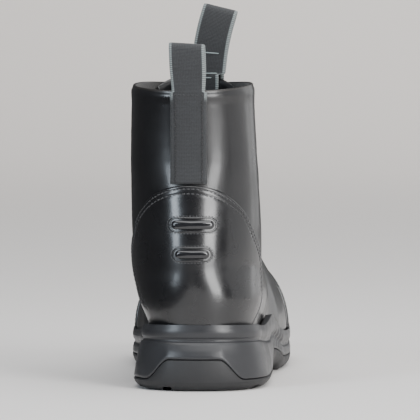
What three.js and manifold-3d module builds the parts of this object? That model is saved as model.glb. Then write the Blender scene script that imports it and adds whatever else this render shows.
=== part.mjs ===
// Paddock boot for the right foot: a laced ankle boot of smooth leather on a moulded rubber sole.
// Millimetres, +Z up, +Y to the toe, +X to the outer side of the foot. The origin is the middle of
// the heel's flat rest on the floor. Inside this file y runs from the back of the sole.
import * as THREE from 'three';
import { mergeVertices } from 'three/addons/utils/BufferGeometryUtils.js';
import Module from 'manifold-3d';

// Lengths and widths of the foot
const LENGTH = 272; // sole, heel to toe
const BALL_WIDTH = 94; // sole at the ball
const WAIST_WIDTH = 70; // sole at the arch
const HEEL_WIDTH = 75; // sole at the heel
const HEEL_EDGE = 36.4; // top of the sole's edge at the back
const FORE_EDGE = 22; // top of the sole's edge at the ball
const TOE_EDGE = 27; // top of the sole's edge at the toe
const HEEL_SEAT = 22.5; // footbed above the floor at the heel
const FORE_SEAT = 12.5; // footbed above the floor at the ball
const TOE_SPRING = 13; // tread above the floor at the tip of the toe
const ARCH_RISE = 6; // tread above the floor at the arch
const INFLARE = 4.6; // how far the ball lies inward of the heel's middle line
const HEEL_SHIFT = 1.7; // how far the heel's sides lie outward of its back

// Upper
const WALL = 2.2; // leather and lining
const TOE_INSET = 4.6; // tip of the upper behind the tip of the sole
const HEEL_INSET = 5.6; // back of the heel in front of the back of the sole
const HEEL_HOLLOW = 7.6; // how far the back line comes in above the heel
const COLLAR_HOLLOW = 0.66; // share of the hollow that the collar keeps
const UPPER_HEEL_WIDTH = 71.8; // widest across the heel of the upper
const SHAFT_WIDTH = 68.4; // collar, side to side
const COLLAR_DEPTH = 94.5; // collar, front to back
const COLLAR_HEIGHT = 163.5; // rim at the back
const COLLAR_RISE = 4; // front of the rim above its back
const COLLAR_CREST = 2; // sides of the rim above the straight line between these
const INSTEP_HEIGHT = 84; // ridge over the instep
const HEEL_LEAN = 2.3; // how far the upper's heel stands inward of the sole's middle
const SHAFT_LEAN = 2.4; // and how far the collar stands inward of that
const GAP = 0.3; // between pieces that lie on each other
const SEAT_GAP = 0.5; // under upper and insole, on the footbed
const LEATHER = 1.1; // single overlay

// Heel counter and its two spur rests
const COUNTER_HEIGHT = 113; // top of the arch at the back
const COUNTER_REACH = 52; // furthest forward on the side
const REST_RISE = 3; // top of a rest above the upper
const RESTS = {
  upper: { height: 91, width: 22.7, tall: 5.3, opening: 0.65, aside: 1.8 },
  lower: { height: 75, width: 18.1, tall: 5, opening: 0.9, aside: 1.3 },
};

// Toe cap
const CAP_LENGTH = 78; // from its seam to the tip of the sole
const CAP_BOW = 14; // how far its seam bows forward at the middle

// Throat, tongue and lacing
const THROAT_BOTTOM_WIDTH = 13;
const THROAT_TOP_WIDTH = 31;
const THROAT_LENGTH = 106; // along the instep
const THROAT_ASIDE = 4; // how far it lies inward
const FACING_WIDTH = 14; // eyestay beside the throat
const TONGUE_THICK = 3;
const TONGUE_RISE = 5; // above the front of the rim
const EYELET_PAIRS = 6;
const EYELET_INSET = 7; // from the edge of the throat
const EYELET_RADIUS = 3.8;
const EYELET_HOLE = 2;
const EYELET_THICK = 0.8;
const LACE_WIDTH = 4.4;
const LACE_THICK = 1.4;

// Pull tapes
const TAPE_WIDTH = 19.6;
const TAPE_THICK = 1.3;
const REAR_LOOP_RISE = 27.3; // above the rim
const FRONT_LOOP_RISE = 44.6;
const LOOP_GAP = 6.5; // between the two plies

// Sole
const SIDE_DEPTH = 6; // what the shares of the side's table are of
const PANEL_RISE = 17.6; // top of the tread's panel at the back
const PANEL_WIDTH = 28; // its flat top
const PANEL_FOOT = 56; // its foot
const SPLIT_HEEL = 6.4; // top of the tread layer at the heel
const SPLIT_FORE = 7.7; // and at the ball
const LUG_DEPTH = 3;
const LUG_GROOVE = 4.5;
const FORE_GROOVES = 5;
const HEEL_GROOVES = 3;
const INSOLE_THICK = 3;

// Grooves across the tread: first and last, as shares of the length
const HEEL_GROOVE_FROM = 0.08;
const HEEL_GROOVE_TO = 0.23;
const FORE_GROOVE_FROM = 0.56;
const FORE_GROOVE_TO = 0.8;
// The origin lies under the last full lug of the heel
const LAST_LUG = (HEEL_GROOVES - 1.5) / (HEEL_GROOVES - 1);

const COLUMNS = 48; // points round the foot
const UPPER_BACK = HEEL_INSET;
const UPPER_FRONT = LENGTH - TOE_INSET;
const COLLAR_BACK = HEEL_INSET + HEEL_HOLLOW * COLLAR_HOLLOW;
const COLLAR_FRONT = COLLAR_BACK + COLLAR_DEPTH;

const lerp = THREE.MathUtils.lerp;
const smooth = (value, from, to) => THREE.MathUtils.smoothstep(value, from, to);

// A smooth curve through a table's column, read at a place on another of its columns. It is level
// where the column turns, so it never passes its own highest and lowest rows.
function curve(table, key, column) {
  return (value) => {
    const last = table.length - 1;
    let i = table.findIndex((row) => row[key] > value) - 1;
    if (value <= table[0][key]) {
      i = 0;
    } else if (i < 0) {
      i = last - 1;
    }
    const [a, b] = [table[i], table[i + 1]];
    const step = b[key] - a[key];
    const slope = (p, q) => (q[column] - p[column]) / (q[key] - p[key]);
    const bend = (p, q, r) => {
      if (!p || !r) {
        return slope(p ?? q, r ?? q);
      }
      return slope(p, q) * slope(q, r) > 0 ? (slope(p, q) + slope(q, r)) / 2 : 0;
    };
    const start = bend(table[i - 1], a, b) * step;
    const end = bend(a, b, table[i + 2]) * step;
    const s = THREE.MathUtils.clamp((value - a[key]) / step, 0, 1);
    const rise = b[column] - a[column];
    return a[column] + s * (start + s * (3 * rise - 2 * start - end + s * (start + end - 2 * rise)));
  };
}

// Places along the foot are shares of its length.
const at = (column, table) => {
  const read = curve(table, 'along', column);
  return (y) => read(y / LENGTH);
};

// Plan of the sole: half widths as shares of half the width that they follow.
const PLAN = [
  { along: 0, half: HEEL_WIDTH / 2, middle: 0 },
  { along: 0.18, half: HEEL_WIDTH / 2, middle: HEEL_SHIFT },
  { along: 0.38, half: WAIST_WIDTH / 2, middle: 1.7 * HEEL_SHIFT },
  { along: 0.52, half: 0.9 * (BALL_WIDTH / 2), middle: -0.3 * INFLARE },
  { along: 0.65, half: BALL_WIDTH / 2, middle: -INFLARE },
  { along: 0.78, half: 0.985 * (BALL_WIDTH / 2), middle: -1.35 * INFLARE },
  { along: 0.9, half: 0.95 * (BALL_WIDTH / 2), middle: -1.9 * INFLARE },
  { along: 1, half: 0.9 * (BALL_WIDTH / 2), middle: -2.3 * INFLARE },
];
const planHalf = at('half', PLAN);
const planMiddle = at('middle', PLAN);

// Heights along the sole: its top edge, the footbed and the tread.
const EDGE = [
  { along: 0, top: HEEL_EDGE, seat: HEEL_SEAT, tread: 0 },
  { along: 0.11, top: 0.962 * HEEL_EDGE, seat: HEEL_SEAT, tread: 0 },
  { along: 0.22, top: 0.896 * HEEL_EDGE, seat: HEEL_SEAT, tread: 0 },
  { along: 0.29, top: 0.95 * HEEL_EDGE, seat: 0.98 * HEEL_SEAT, tread: 0 },
  { along: 0.33, top: HEEL_EDGE, seat: 0.97 * HEEL_SEAT, tread: 0.6 * ARCH_RISE },
  { along: 0.4, top: 0.9 * HEEL_EDGE, seat: 0.93 * HEEL_SEAT, tread: ARCH_RISE },
  { along: 0.47, top: 0.74 * HEEL_EDGE, seat: 0.82 * HEEL_SEAT, tread: 0.75 * ARCH_RISE },
  { along: 0.53, top: 1.06 * FORE_EDGE, seat: 1.18 * FORE_SEAT, tread: 0 },
  { along: 0.62, top: FORE_EDGE, seat: FORE_SEAT, tread: 0 },
  { along: 0.76, top: FORE_EDGE, seat: FORE_SEAT, tread: 0 },
  { along: 0.88, top: 1.07 * FORE_EDGE, seat: 1.17 * FORE_SEAT, tread: 0.28 * TOE_SPRING },
  { along: 1, top: TOE_EDGE, seat: 1.7 * FORE_SEAT, tread: TOE_SPRING },
];
const edgeTop = at('top', EDGE);
const seat = at('seat', EDGE);
const treadCurve = at('tread', EDGE);
const tread = (y) => Math.max(0, treadCurve(y));
const SILL_DROP = 0.6; // inner lip of the sole's edge below its top
const sill = (y) => edgeTop(y) - SILL_DROP;

// Round end of a plan: 0 at the end, 1 from the given length on.
function roundEnd(distance, length, power) {
  const rest = 1 - THREE.MathUtils.clamp(distance / length, 0, 1);
  return (1 - rest ** power) ** (1 / power);
}

// Levels of the upper from the footbed to just above the collar. in and up place the back line,
// reach, low and high the ridge over toe and instep: reach is the share of the way from the
// collar's front to the toe, low of the instep's height, high of the way from there to the rim.
const LEVELS = [
  { level: 0, in: 0.4, up: 0.139, reach: 0.976, low: 0.24, high: 0 },
  { level: 1, in: 0.26, up: 0.222, reach: 1, low: (TOE_EDGE - SILL_DROP) / INSTEP_HEIGHT, high: 0 },
  { level: 2, in: 0.07, up: 0.291, reach: 0.994, low: 0.43, high: 0 },
  { level: 3, in: 0, up: 0.372, reach: 0.968, low: 0.52, high: 0 },
  { level: 4, in: 0.05, up: 0.452, reach: 0.9, low: 0.598, high: 0 },
  { level: 5, in: 0.24, up: 0.539, reach: 0.774, low: 0.673, high: 0 },
  { level: 6, in: 0.56, up: 0.619, reach: 0.61, low: 0.762, high: 0 },
  { level: 7, in: 0.86, up: 0.706, reach: 0.427, low: 0.887, high: 0 },
  { level: 8, in: 1, up: 0.78, reach: 0.262, low: 1, high: 0.053 },
  { level: 9, in: 0.96, up: 0.855, reach: 0.122, low: 1, high: 0.316 },
  { level: 10, in: 0.83, up: 0.929, reach: 0.037, low: 1, high: 0.643 },
  { level: 11, in: COLLAR_HOLLOW, up: 1, reach: 0, low: 1, high: 1 },
  { level: 12, in: 0.6, up: 1.071, reach: -0.003, low: 1, high: 1.135 },
];
const COLLAR = 11;
const TOP_LEVEL = 12;
const CREST_FROM = 8; // level where the rise of the rim's sides begins
const readLevel = (column) => curve(LEVELS, 'level', column);
const [inAt, upAt, reachAt, lowAt, highAt] = ['in', 'up', 'reach', 'low', 'high'].map(readLevel);
const rimFront = COLLAR_HEIGHT + COLLAR_RISE;
const backY = (level) => UPPER_BACK + HEEL_HOLLOW * inAt(level);
const backZ = (level) => COLLAR_HEIGHT * upAt(level);
const frontY = (level) => lerp(COLLAR_FRONT, UPPER_FRONT, reachAt(level));
const frontZ = (level) => INSTEP_HEIGHT * lowAt(level) + (rimFront - INSTEP_HEIGHT) * highAt(level);

// Width of the heel and shaft by height, as a share of the widest place.
const collarShare = SHAFT_WIDTH / UPPER_HEEL_WIDTH;
const SHAFT = [
  { up: 0, half: 0.79 },
  { up: 0.222, half: 0.835 },
  { up: 0.29, half: 0.92 },
  { up: 0.35, half: 0.952 },
  { up: 0.45, half: 0.985 },
  { up: 0.56, half: 1 },
  { up: 0.78, half: lerp(collarShare, 1, 0.6) },
  { up: 1, half: collarShare },
  { up: 1.1, half: collarShare },
];
const shaftCurve = curve(SHAFT, 'up', 'half');
const shaftHalf = (z) => shaftCurve(z / COLLAR_HEIGHT) * (UPPER_HEEL_WIDTH / 2);

// The ridge read both ways, from samples of the levels.
const RIDGE_SAMPLES = 240;
const ridge = Array.from({ length: RIDGE_SAMPLES + 1 }, (_, i) => {
  const level = lerp(1, TOP_LEVEL, i / RIDGE_SAMPLES);
  return { y: frontY(level), z: frontZ(level) };
});
function ridgeAt(key, value, wanted) {
  const rising = ridge[RIDGE_SAMPLES][key] > ridge[0][key];
  let i = ridge.findIndex((p) => (rising ? p[key] >= value : p[key] <= value));
  i = i < 0 ? RIDGE_SAMPLES : Math.max(1, i);
  const [a, b] = [ridge[i - 1], ridge[i]];
  const s = THREE.MathUtils.clamp((value - a[key]) / (b[key] - a[key]), 0, 1);
  return lerp(a[wanted], b[wanted], s);
}

// Half width of the upper in the plane at y, height z: an oval shaft, and a dome over the foot.
const WIDEST = 0.19; // widest place of heel and shaft, as a share of the length
const BACK_POWER = 2.15;
const HEEL_POINT = 0.3; // the power falls by this at the counter, where the heel is more pointed
const heelPoint = (share) => HEEL_POINT * smooth(share, 0.3, 0.42) * (1 - smooth(share, 0.62, 0.78));
const TOE_ROUND = 0.225; // length of the toe's round end, as a share of the length
const TOE_POWER = 2.15;
const LAP = 1.5; // least wall of the sole's edge round the upper
function footHalf(y, end) {
  const edgeWall = LAP + GAP + SIDE_DEPTH * 0.1;
  return (planHalf(y) - edgeWall) * roundEnd(end - y, TOE_ROUND * LENGTH, TOE_POWER);
}
function upperHalf(y, z, end, back) {
  const widest = WIDEST * LENGTH;
  let oval = shaftHalf(z);
  if (y < widest) {
    return oval * roundEnd(y - back, widest - back, BACK_POWER - heelPoint(z / COLLAR_HEIGHT));
  }
  const tip = Math.max(ridgeAt('z', z, 'y'), y);
  oval *= Math.sqrt(1 - ((y - widest) / (tip - widest)) ** 2);
  const [low, top] = [sill(y), ridgeAt('y', y, 'z')];
  const rise = THREE.MathUtils.clamp((z - low) / Math.max(top - low, 0.01), 0, 1);
  const dome = footHalf(y, end) * Math.sqrt(1 - rise * rise);
  return lerp(oval, dome, smooth(y, 0.35 * LENGTH, 0.52 * LENGTH));
}

// The middle line: the sole's own plan below, a plain inward sweep above, and the shaft's lean.
function upperMiddle(y, z) {
  const sweep = -lerp(HEEL_LEAN, INFLARE, smooth(y, 0.25 * LENGTH, 0.7 * LENGTH));
  const shared = lerp(planMiddle(y), sweep, smooth(z, sill(y), sill(y) + HEEL_EDGE));
  const toe = lerp(shared, planMiddle(y), smooth(y, 0.6 * LENGTH, 0.8 * LENGTH));
  return toe - SHAFT_LEAN * smooth(z, 0.3 * COLLAR_HEIGHT, COLLAR_HEIGHT);
}

// A point of the upper's outer face: turn 0 is the back, half a turn the front.
function upperPoint(turn, level) {
  const [back, front] = [backY(level), frontY(level)];
  const u = (1 - Math.cos(turn)) / 2;
  const y = lerp(back, front, u);
  let z;
  if (level <= 1) {
    z = lerp(seat(y) + SEAT_GAP, sill(y), level);
  } else {
    const straight = lerp(backZ(level), frontZ(level), u);
    const lift = lerp(backZ(level) - sill(back), frontZ(level) - sill(front), u);
    z = lerp(sill(y) + lift, straight, smooth(level, 1, 5));
    z += COLLAR_CREST * Math.sin(turn) ** 2 * smooth(level, CREST_FROM, COLLAR);
  }
  const half = upperHalf(y, z, Math.max(front, level > 1 ? UPPER_FRONT : 0), back);
  return new THREE.Vector3(upperMiddle(y, z) + Math.sign(Math.sin(turn)) * half, y, z);
}

// The same point moved outward by the given distance along the face's normal.
const NUDGE = 0.01;
function upperOffset(turn, level, out) {
  const lowLevel = Math.min(level, TOP_LEVEL - NUDGE);
  const across = upperPoint(turn + NUDGE, level).sub(upperPoint(turn - NUDGE, level));
  const along = upperPoint(turn, lowLevel + NUDGE).sub(upperPoint(turn, Math.max(0, lowLevel - NUDGE)));
  const normal = across.cross(along).normalize();
  if (level > 1) {
    return upperPoint(turn, level).addScaledVector(normal, out);
  }
  const spot = upperPoint(turn, level).addScaledVector(normal.setZ(0).normalize(), out);
  return spot.setZ(lerp(seat(spot.y) + SEAT_GAP, sill(spot.y), level));
}

// Solids from rows of points
const wasm = await Module();
wasm.setup();

function meshOf(points, faces) {
  const flat = new Float32Array(points.flatMap((p) => [p.x, p.y, p.z]));
  let volume = 0;
  for (const [a, b, c] of faces) {
    volume += points[a].dot(points[b].clone().cross(points[c]));
  }
  const turned = volume < 0 ? faces.map(([a, b, c]) => [a, c, b]) : faces;
  const geometry = new THREE.BufferGeometry();
  geometry.setAttribute('position', new THREE.BufferAttribute(flat, 3));
  geometry.setIndex(turned.flat());
  return geometry;
}

// Rows of equal length, each a closed loop. The ends are closed by rungs between partners, or
// joined to each other. With tip, point 0 lies on the middle line and has no partner. Where crossed
// says so, a face is split along its other diagonal.
function loft(rows, { tip = false, joined = false, crossed = () => false } = {}) {
  const count = rows[0].length;
  const faces = [];
  const bands = joined ? rows.length : rows.length - 1;
  for (let j = 0; j < bands; j += 1) {
    for (let i = 0; i < count; i += 1) {
      const [a, b] = [j * count + i, j * count + ((i + 1) % count)];
      const up = (((j + 1) % rows.length) - j) * count;
      if (crossed(i, j)) {
        faces.push([a, b, a + up], [b, b + up, a + up]);
      } else {
        faces.push([a, b, b + up], [a, b + up, a + up]);
      }
    }
  }
  if (!joined) {
    const partner = (i) => (tip ? (count - i) % count : count - 1 - i);
    const last = tip ? count / 2 : count / 2 - 1;
    const top = (rows.length - 1) * count;
    for (let i = 0; i < last; i += 1) {
      const [a, b, c, d] = [i, i + 1, partner(i + 1), partner(i)];
      const flat = [];
      if (a !== d) {
        flat.push([a, b, d]);
      }
      if (b !== c) {
        flat.push([b, c, d]);
      }
      flat.forEach(([p, q, r]) => faces.push([p, r, q], [p + top, q + top, r + top]));
    }
  }
  return meshOf(rows.flat(), faces);
}

function toManifold(geometry) {
  const bare = geometry.clone();
  bare.deleteAttribute('normal');
  bare.deleteAttribute('uv');
  const merged = mergeVertices(bare, 1e-4);
  const vertProperties = Float32Array.from(merged.attributes.position.array);
  const triVerts = Uint32Array.from(merged.index.array);
  return new wasm.Manifold(new wasm.Mesh({ numProp: 3, vertProperties, triVerts }));
}

// Corners closer than this are one corner, so that no cut leaves a sliver.
const WELD = 0.02;
function fromManifold(body) {
  const mesh = body.getMesh();
  const raw = new THREE.BufferGeometry();
  raw.setAttribute('position', new THREE.BufferAttribute(Float32Array.from(mesh.vertProperties), 3));
  raw.setIndex(Array.from(mesh.triVerts));
  const geometry = mergeVertices(raw, WELD);
  const index = geometry.index.array;
  const kept = [];
  for (let i = 0; i < index.length; i += 3) {
    const [a, b, c] = index.slice(i, i + 3);
    if (a !== b && b !== c && c !== a) {
      kept.push(a, b, c);
    }
  }
  geometry.setIndex(kept);
  return geometry;
}

const cut = (solid, ...tools) =>
  fromManifold(tools.reduce((body, tool) => body.subtract(toManifold(tool)), toManifold(solid)));
const common = (solid, tool) => fromManifold(toManifold(solid).intersect(toManifold(tool)));
const join = (solids) =>
  fromManifold(solids.slice(1).reduce((body, next) => body.add(toManifold(next)), toManifold(solids[0])));

// A straight prism over an outline of [across, up] points, centred on its depth.
function prism(outline, depth, matrix) {
  const shape = new THREE.Shape(outline.map(([x, y]) => new THREE.Vector2(x, y)));
  const body = new THREE.ExtrudeGeometry(shape, { depth, bevelEnabled: false, steps: 1 });
  body.translate(0, 0, -depth / 2);
  return body.applyMatrix4(matrix);
}

const turns = Array.from({ length: COLUMNS }, (_, i) => (2 * Math.PI * i) / COLUMNS);
const ringOf = (level, out) => turns.map((turn) => upperOffset(turn, level, out));

// A plate over part of the upper, between two distances from its outer face. Its levels are
// numbers, or functions of the turn.
function plate(columns, levels, inner, outer) {
  const loops = levels.map((level) => {
    const levelAt = typeof level === 'function' ? level : () => level;
    const face = (out) => columns.map((turn) => upperOffset(turn, levelAt(turn), out));
    return [...face(outer), ...face(inner).reverse()];
  });
  return loft(loops, { crossed: (i) => i >= columns.length });
}

// The upper's rows. Overlays share them, so that faces run alongside each other.
const ROWS = [0, 1, 1.5, 2, 2.7, 3.4, 4.2, 5, 5.8, 6.6, 7.4, 8.1, 8.8, 9.5, 10.2, COLLAR];
const rowsBetween = (low, top) => ROWS.filter((level) => level >= low && level <= top);
const ABOVE_EDGE = 1.12; // where overlays begin, just above the sole's edge

// Throat
const throatFrame = (() => {
  const top = new THREE.Vector3(0, frontY(COLLAR), frontZ(COLLAR));
  const low = new THREE.Vector3(0, 0.6 * LENGTH, ridgeAt('y', 0.6 * LENGTH, 'z'));
  const up = top.clone().sub(low).normalize();
  const start = top.clone().addScaledVector(up, -THROAT_LENGTH);
  start.x = -THROAT_ASIDE;
  const across = new THREE.Vector3(1, 0, 0);
  const out = across.clone().cross(up);
  const matrix = new THREE.Matrix4().makeBasis(across, up, out).setPosition(start);
  return { start, up, matrix };
})();
const THROAT_DEPTH = 90;
const throatHalf = (v) => lerp(THROAT_BOTTOM_WIDTH, THROAT_TOP_WIDTH, v / THROAT_LENGTH) / 2;

function throatOutline(margin) {
  const over = 1.25 * THROAT_LENGTH;
  const half = throatHalf(0) + margin;
  const round = Array.from({ length: 9 }, (_, i) => {
    const angle = Math.PI + (Math.PI * i) / 8;
    return [half * Math.cos(angle), half * Math.sin(angle) + throatHalf(0)];
  });
  return [...round, [throatHalf(over) + margin, over], [-throatHalf(over) - margin, over]];
}
const throatTool = (margin) => prism(throatOutline(margin), THROAT_DEPTH, throatFrame.matrix);

function makeUpper() {
  const outer = ROWS.map((level) => ringOf(level, 0));
  const inner = ROWS.map((level) => ringOf(level, -WALL));
  const shell = loft([...outer, ...inner.reverse()], { joined: true, crossed: (i, j) => j >= ROWS.length });
  return cut(shell, throatTool(0));
}

// Columns of the upper within a share of half a turn from its back or its front.
const backColumns = (share) =>
  turns.map((turn) => turn - Math.PI).filter((turn) => Math.abs(turn) < share * Math.PI);
const frontColumns = (share) => turns.filter((turn) => Math.abs(turn - Math.PI) < share * Math.PI);

function makeCounter() {
  const columns = backColumns(0.4);
  const shell = plate(columns, [ABOVE_EDGE, ...rowsBetween(1.5, 8.1)], GAP, GAP + LEATHER);
  const front = new THREE.SplineCurve(
    [
      [0.64, 0.2],
      [0.64, 0.31],
      [0.84, 0.4],
      [0.99, 0.53],
      [0.92, 0.65],
      [0.7, 0.76],
      [0.54, 0.865],
      [0.38, 0.945],
      [0.26, 0.985],
      [0.1, 1],
    ].map(([reach, up]) => new THREE.Vector2(reach * COUNTER_REACH, up * COUNTER_HEIGHT)),
  ).getPoints(20);
  const behind = -HEEL_INSET;
  const outline = [...front.map((p) => [p.x, p.y]), [behind, COUNTER_HEIGHT], [behind, 0], [front[0].x, 0]];
  const side = new THREE.Matrix4().makeBasis(
    new THREE.Vector3(0, 1, 0),
    new THREE.Vector3(0, 0, 1),
    new THREE.Vector3(1, 0, 0),
  );
  const body = common(shell, prism(outline, 2 * HEEL_WIDTH, side));
  const openings = Object.values(RESTS).map((rest) => restOpening(rest));
  return cut(body, ...openings);
}

// Newton's method on the upper's face, for the turn and level where two measures are met.
function locate(turn, level, measure, keepLevel = false) {
  let [a, b] = [turn, level];
  for (let step = 0; step < 20; step += 1) {
    const [f, g] = measure(upperPoint(a, b));
    const [fa, ga] = measure(upperPoint(a + NUDGE, b));
    if (keepLevel) {
      a -= THREE.MathUtils.clamp((f * NUDGE) / (fa - f), -0.2, 0.2);
      continue;
    }
    const [fb, gb] = measure(upperPoint(a, b + NUDGE));
    const [m, n, p, q] = [fa - f, fb - f, ga - g, gb - g].map((d) => d / NUDGE);
    const det = m * q - n * p;
    a -= THREE.MathUtils.clamp((f * q - g * n) / det, -0.2, 0.2);
    b -= THREE.MathUtils.clamp((g * m - f * p) / det, -0.5, 0.5);
  }
  return [a, b];
}

const backMiddle = (z) => upperPoint(0, locate(0.01, 5, (p) => [p.x - upperMiddle(p.y, z), p.z - z])[1]).x;

// Loops of a stadium on the back of the heel, each with its own inset and distance from the face.
const REST_STEPS = 8; // stations along a rest
function stadiumLoops(rest, profile) {
  const middle = backMiddle(rest.height) + rest.aside;
  const straight = (rest.width - rest.tall) / 2;
  return profile.map(({ grow, out }) => {
    const radius = rest.tall / 2 + grow;
    const round = Array.from({ length: 2 * REST_STEPS }, (_, i) => {
      const angle = (Math.PI * i) / REST_STEPS;
      const x = (straight + radius) * Math.cos(angle);
      const past = Math.min(radius, Math.max(0, Math.abs(x) - straight));
      const tip = i % REST_STEPS === 0;
      return [x, tip ? 0 : Math.sign(Math.sin(angle)) * Math.sqrt(radius ** 2 - past ** 2)];
    });
    return round.map(([x, z]) => {
      const spot = (p) => [p.x - middle - x, p.z - rest.height - z];
      const [turn, level] = locate((2 * (x + rest.aside)) / UPPER_HEEL_WIDTH, 5, spot);
      return upperOffset(turn, level, out);
    });
  });
}

function restOpening(rest) {
  const grow = rest.opening;
  return loft(stadiumLoops(rest, [{ grow, out: -1 }, { grow, out: REST_RISE }]), { tip: true });
}

function makeRest(rest) {
  const profile = [
    { grow: 0, out: GAP },
    { grow: 0, out: 0.72 * REST_RISE },
    { grow: -0.4, out: 0.92 * REST_RISE },
    { grow: -1.2, out: REST_RISE },
  ];
  return loft(stadiumLoops(rest, profile), { tip: true });
}

function makeToeCap() {
  const columns = frontColumns(0.5);
  const shell = plate(columns, [ABOVE_EDGE, ...rowsBetween(1.5, 6.6)], GAP, GAP + LEATHER);
  const seam = LENGTH - CAP_LENGTH;
  const bow = Array.from({ length: 11 }, (_, i) => {
    const x = BALL_WIDTH * (i / 10 - 0.5);
    return [x - INFLARE, seam + CAP_BOW * Math.cos((Math.PI * x) / BALL_WIDTH) - CAP_BOW];
  });
  const [wide, far] = [BALL_WIDTH, 2 * LENGTH];
  const outline = [...bow, [wide, seam], [wide, far], [-wide, far], [-wide, seam]];
  return common(shell, prism(outline, 4 * COLLAR_HEIGHT, new THREE.Matrix4()));
}

function makeEyestay() {
  const columns = frontColumns(0.48);
  const shell = plate(columns, rowsBetween(5.5, COLLAR), GAP, GAP + LEATHER);
  return cut(common(shell, throatTool(FACING_WIDTH)), throatTool(0));
}

const TONGUE_ROUND = 3.6; // levels by which its top edge falls, if it went all round
function makeTongue() {
  const columns = frontColumns(0.27);
  const top = COLLAR + TONGUE_RISE / (frontZ(TOP_LEVEL) - frontZ(COLLAR));
  const rounded = (turn) => top - TONGUE_ROUND * (Math.abs(turn - Math.PI) / Math.PI) ** 1.5;
  return plate(columns, [...rowsBetween(6.6, COLLAR), rounded], -WALL - GAP - TONGUE_THICK, -WALL - GAP);
}

function makeInsole() {
  const loop = ringOf(0, -WALL - 1.5 * GAP);
  const layer = (up) => loop.map((p) => new THREE.Vector3(p.x, p.y, seat(p.y) + up));
  return loft([layer(SEAT_GAP), layer(SEAT_GAP + INSOLE_THICK)], { tip: true });
}

// Side of the sole, from the tread up: shares of its height, and insets as shares of SIDE_DEPTH,
// at the heel and at the ball.
const SIDE = [
  { part: 'tread', heelUp: 0, foreUp: 0, heelIn: 1.03, foreIn: 0.75 },
  { part: 'tread', heelUp: 0.03, foreUp: 0.05, heelIn: 0.5, foreIn: 0.4 },
  { part: 'tread', heelUp: 0.08, foreUp: 0.15, heelIn: 0.15, foreIn: 0.14 },
  { part: 'tread', heelUp: 0.14, foreUp: 0.25, heelIn: 0, foreIn: 0.03 },
  { part: 'flare', heelUp: 0.36, foreUp: 0.42, heelIn: 0.05, foreIn: 0 },
  { part: 'flare', heelUp: 0.505, foreUp: 0.5, heelIn: 0.22, foreIn: 0.04 },
  { part: 'band', heelUp: 0.73, foreUp: 0.58, heelIn: 0.6, foreIn: 0.1 },
  { part: 'recess', heelUp: 0.75, foreUp: 0.61, heelIn: 0.88, foreIn: 0.22 },
  { part: 'recess', heelUp: 0.79, foreUp: 0.68, heelIn: 0.88, foreIn: 0.22 },
  { part: 'rim', heelUp: 0.815, foreUp: 0.72, heelIn: 0.76, foreIn: 0.06 },
  { part: 'rim', heelUp: 0.9, foreUp: 0.84, heelIn: 0.7, foreIn: 0 },
  { part: 'rim', heelUp: 1, foreUp: 1, heelIn: 0.88, foreIn: 0.1 },
];
const foreShare = (y) => smooth(y, 0.15 * LENGTH, 0.37 * LENGTH);

// The sole's widest outline, and its outward direction.
const HEEL_ROUND = 0.14; // length of the heel's round end, as a share of the length
function solePlan(turn) {
  const y = (LENGTH * (1 - Math.cos(turn))) / 2;
  const ends = roundEnd(y, HEEL_ROUND * LENGTH, 2.2) * roundEnd(LENGTH - y, TOE_ROUND * LENGTH, TOE_POWER);
  return new THREE.Vector2(planMiddle(y) + Math.sign(Math.sin(turn)) * planHalf(y) * ends, y);
}
function solePoint(turn, share, inset, lift = 0) {
  const way = solePlan(turn + NUDGE).sub(solePlan(turn - NUDGE)).normalize();
  const spot = solePlan(turn);
  const y = spot.y;
  const z = lerp(tread(y), edgeTop(y), share) + lift;
  return new THREE.Vector3(spot.x - way.y * inset, spot.y + way.x * inset, z);
}

// Height share of the line between tread layer and midsole, with its panel at the back.
function splitShare(turn) {
  const spot = solePlan(turn);
  const height = edgeTop(spot.y) - tread(spot.y);
  const plain = lerp(SPLIT_HEEL / HEEL_EDGE, SPLIT_FORE / FORE_EDGE, foreShare(spot.y));
  const aside = Math.abs(spot.x);
  const onBack = spot.y < HEEL_ROUND * LENGTH ? 1 : 0;
  const panel = onBack * (1 - smooth(aside, PANEL_WIDTH / 2, PANEL_FOOT / 2));
  return lerp(plain, PANEL_RISE / height, panel);
}

function sideRow(row, turn) {
  const fore = foreShare(solePlan(turn).y);
  return { up: lerp(row.heelUp, row.foreUp, fore), inset: SIDE_DEPTH * lerp(row.heelIn, row.foreIn, fore) };
}
const treadRows = SIDE.filter((row) => row.part === 'tread');
const flareRows = SIDE.filter((row) => row.part === 'flare');
const upperRows = SIDE.filter((row) => !['tread', 'flare'].includes(row.part));

function makeOutsole() {
  const rows = treadRows.map((row) =>
    turns.map((turn) => {
      const { up, inset } = sideRow(row, turn);
      return solePoint(turn, up, inset);
    }),
  );
  rows.push(turns.map((turn) => solePoint(turn, splitShare(turn), 0, -GAP / 2)));
  const body = loft(rows, { tip: true });
  return cut(body, ...treadGrooves());
}

// Grooves across the tread, and one along the heel.
function treadGrooves() {
  const groove = (width, length, x, y, turn) => {
    const box = new THREE.BoxGeometry(width, length, 2 * LUG_DEPTH);
    box.rotateZ(turn);
    return box.translate(x, y, 0);
  };
  const list = [];
  for (let i = 0; i < FORE_GROOVES; i += 1) {
    const y = lerp(FORE_GROOVE_FROM, FORE_GROOVE_TO, i / (FORE_GROOVES - 1)) * LENGTH;
    list.push(groove(2 * BALL_WIDTH, LUG_GROOVE, 0, y, -0.12));
  }
  for (let i = 0; i < HEEL_GROOVES; i += 1) {
    const y = lerp(HEEL_GROOVE_FROM, HEEL_GROOVE_TO, i / (HEEL_GROOVES - 1)) * LENGTH;
    list.push(groove(2 * HEEL_WIDTH, LUG_GROOVE, 0, y, 0));
  }
  list.push(groove(LUG_GROOVE, 0.2 * LENGTH, -0.2 * HEEL_WIDTH, 0, 0));
  return list;
}

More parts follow.
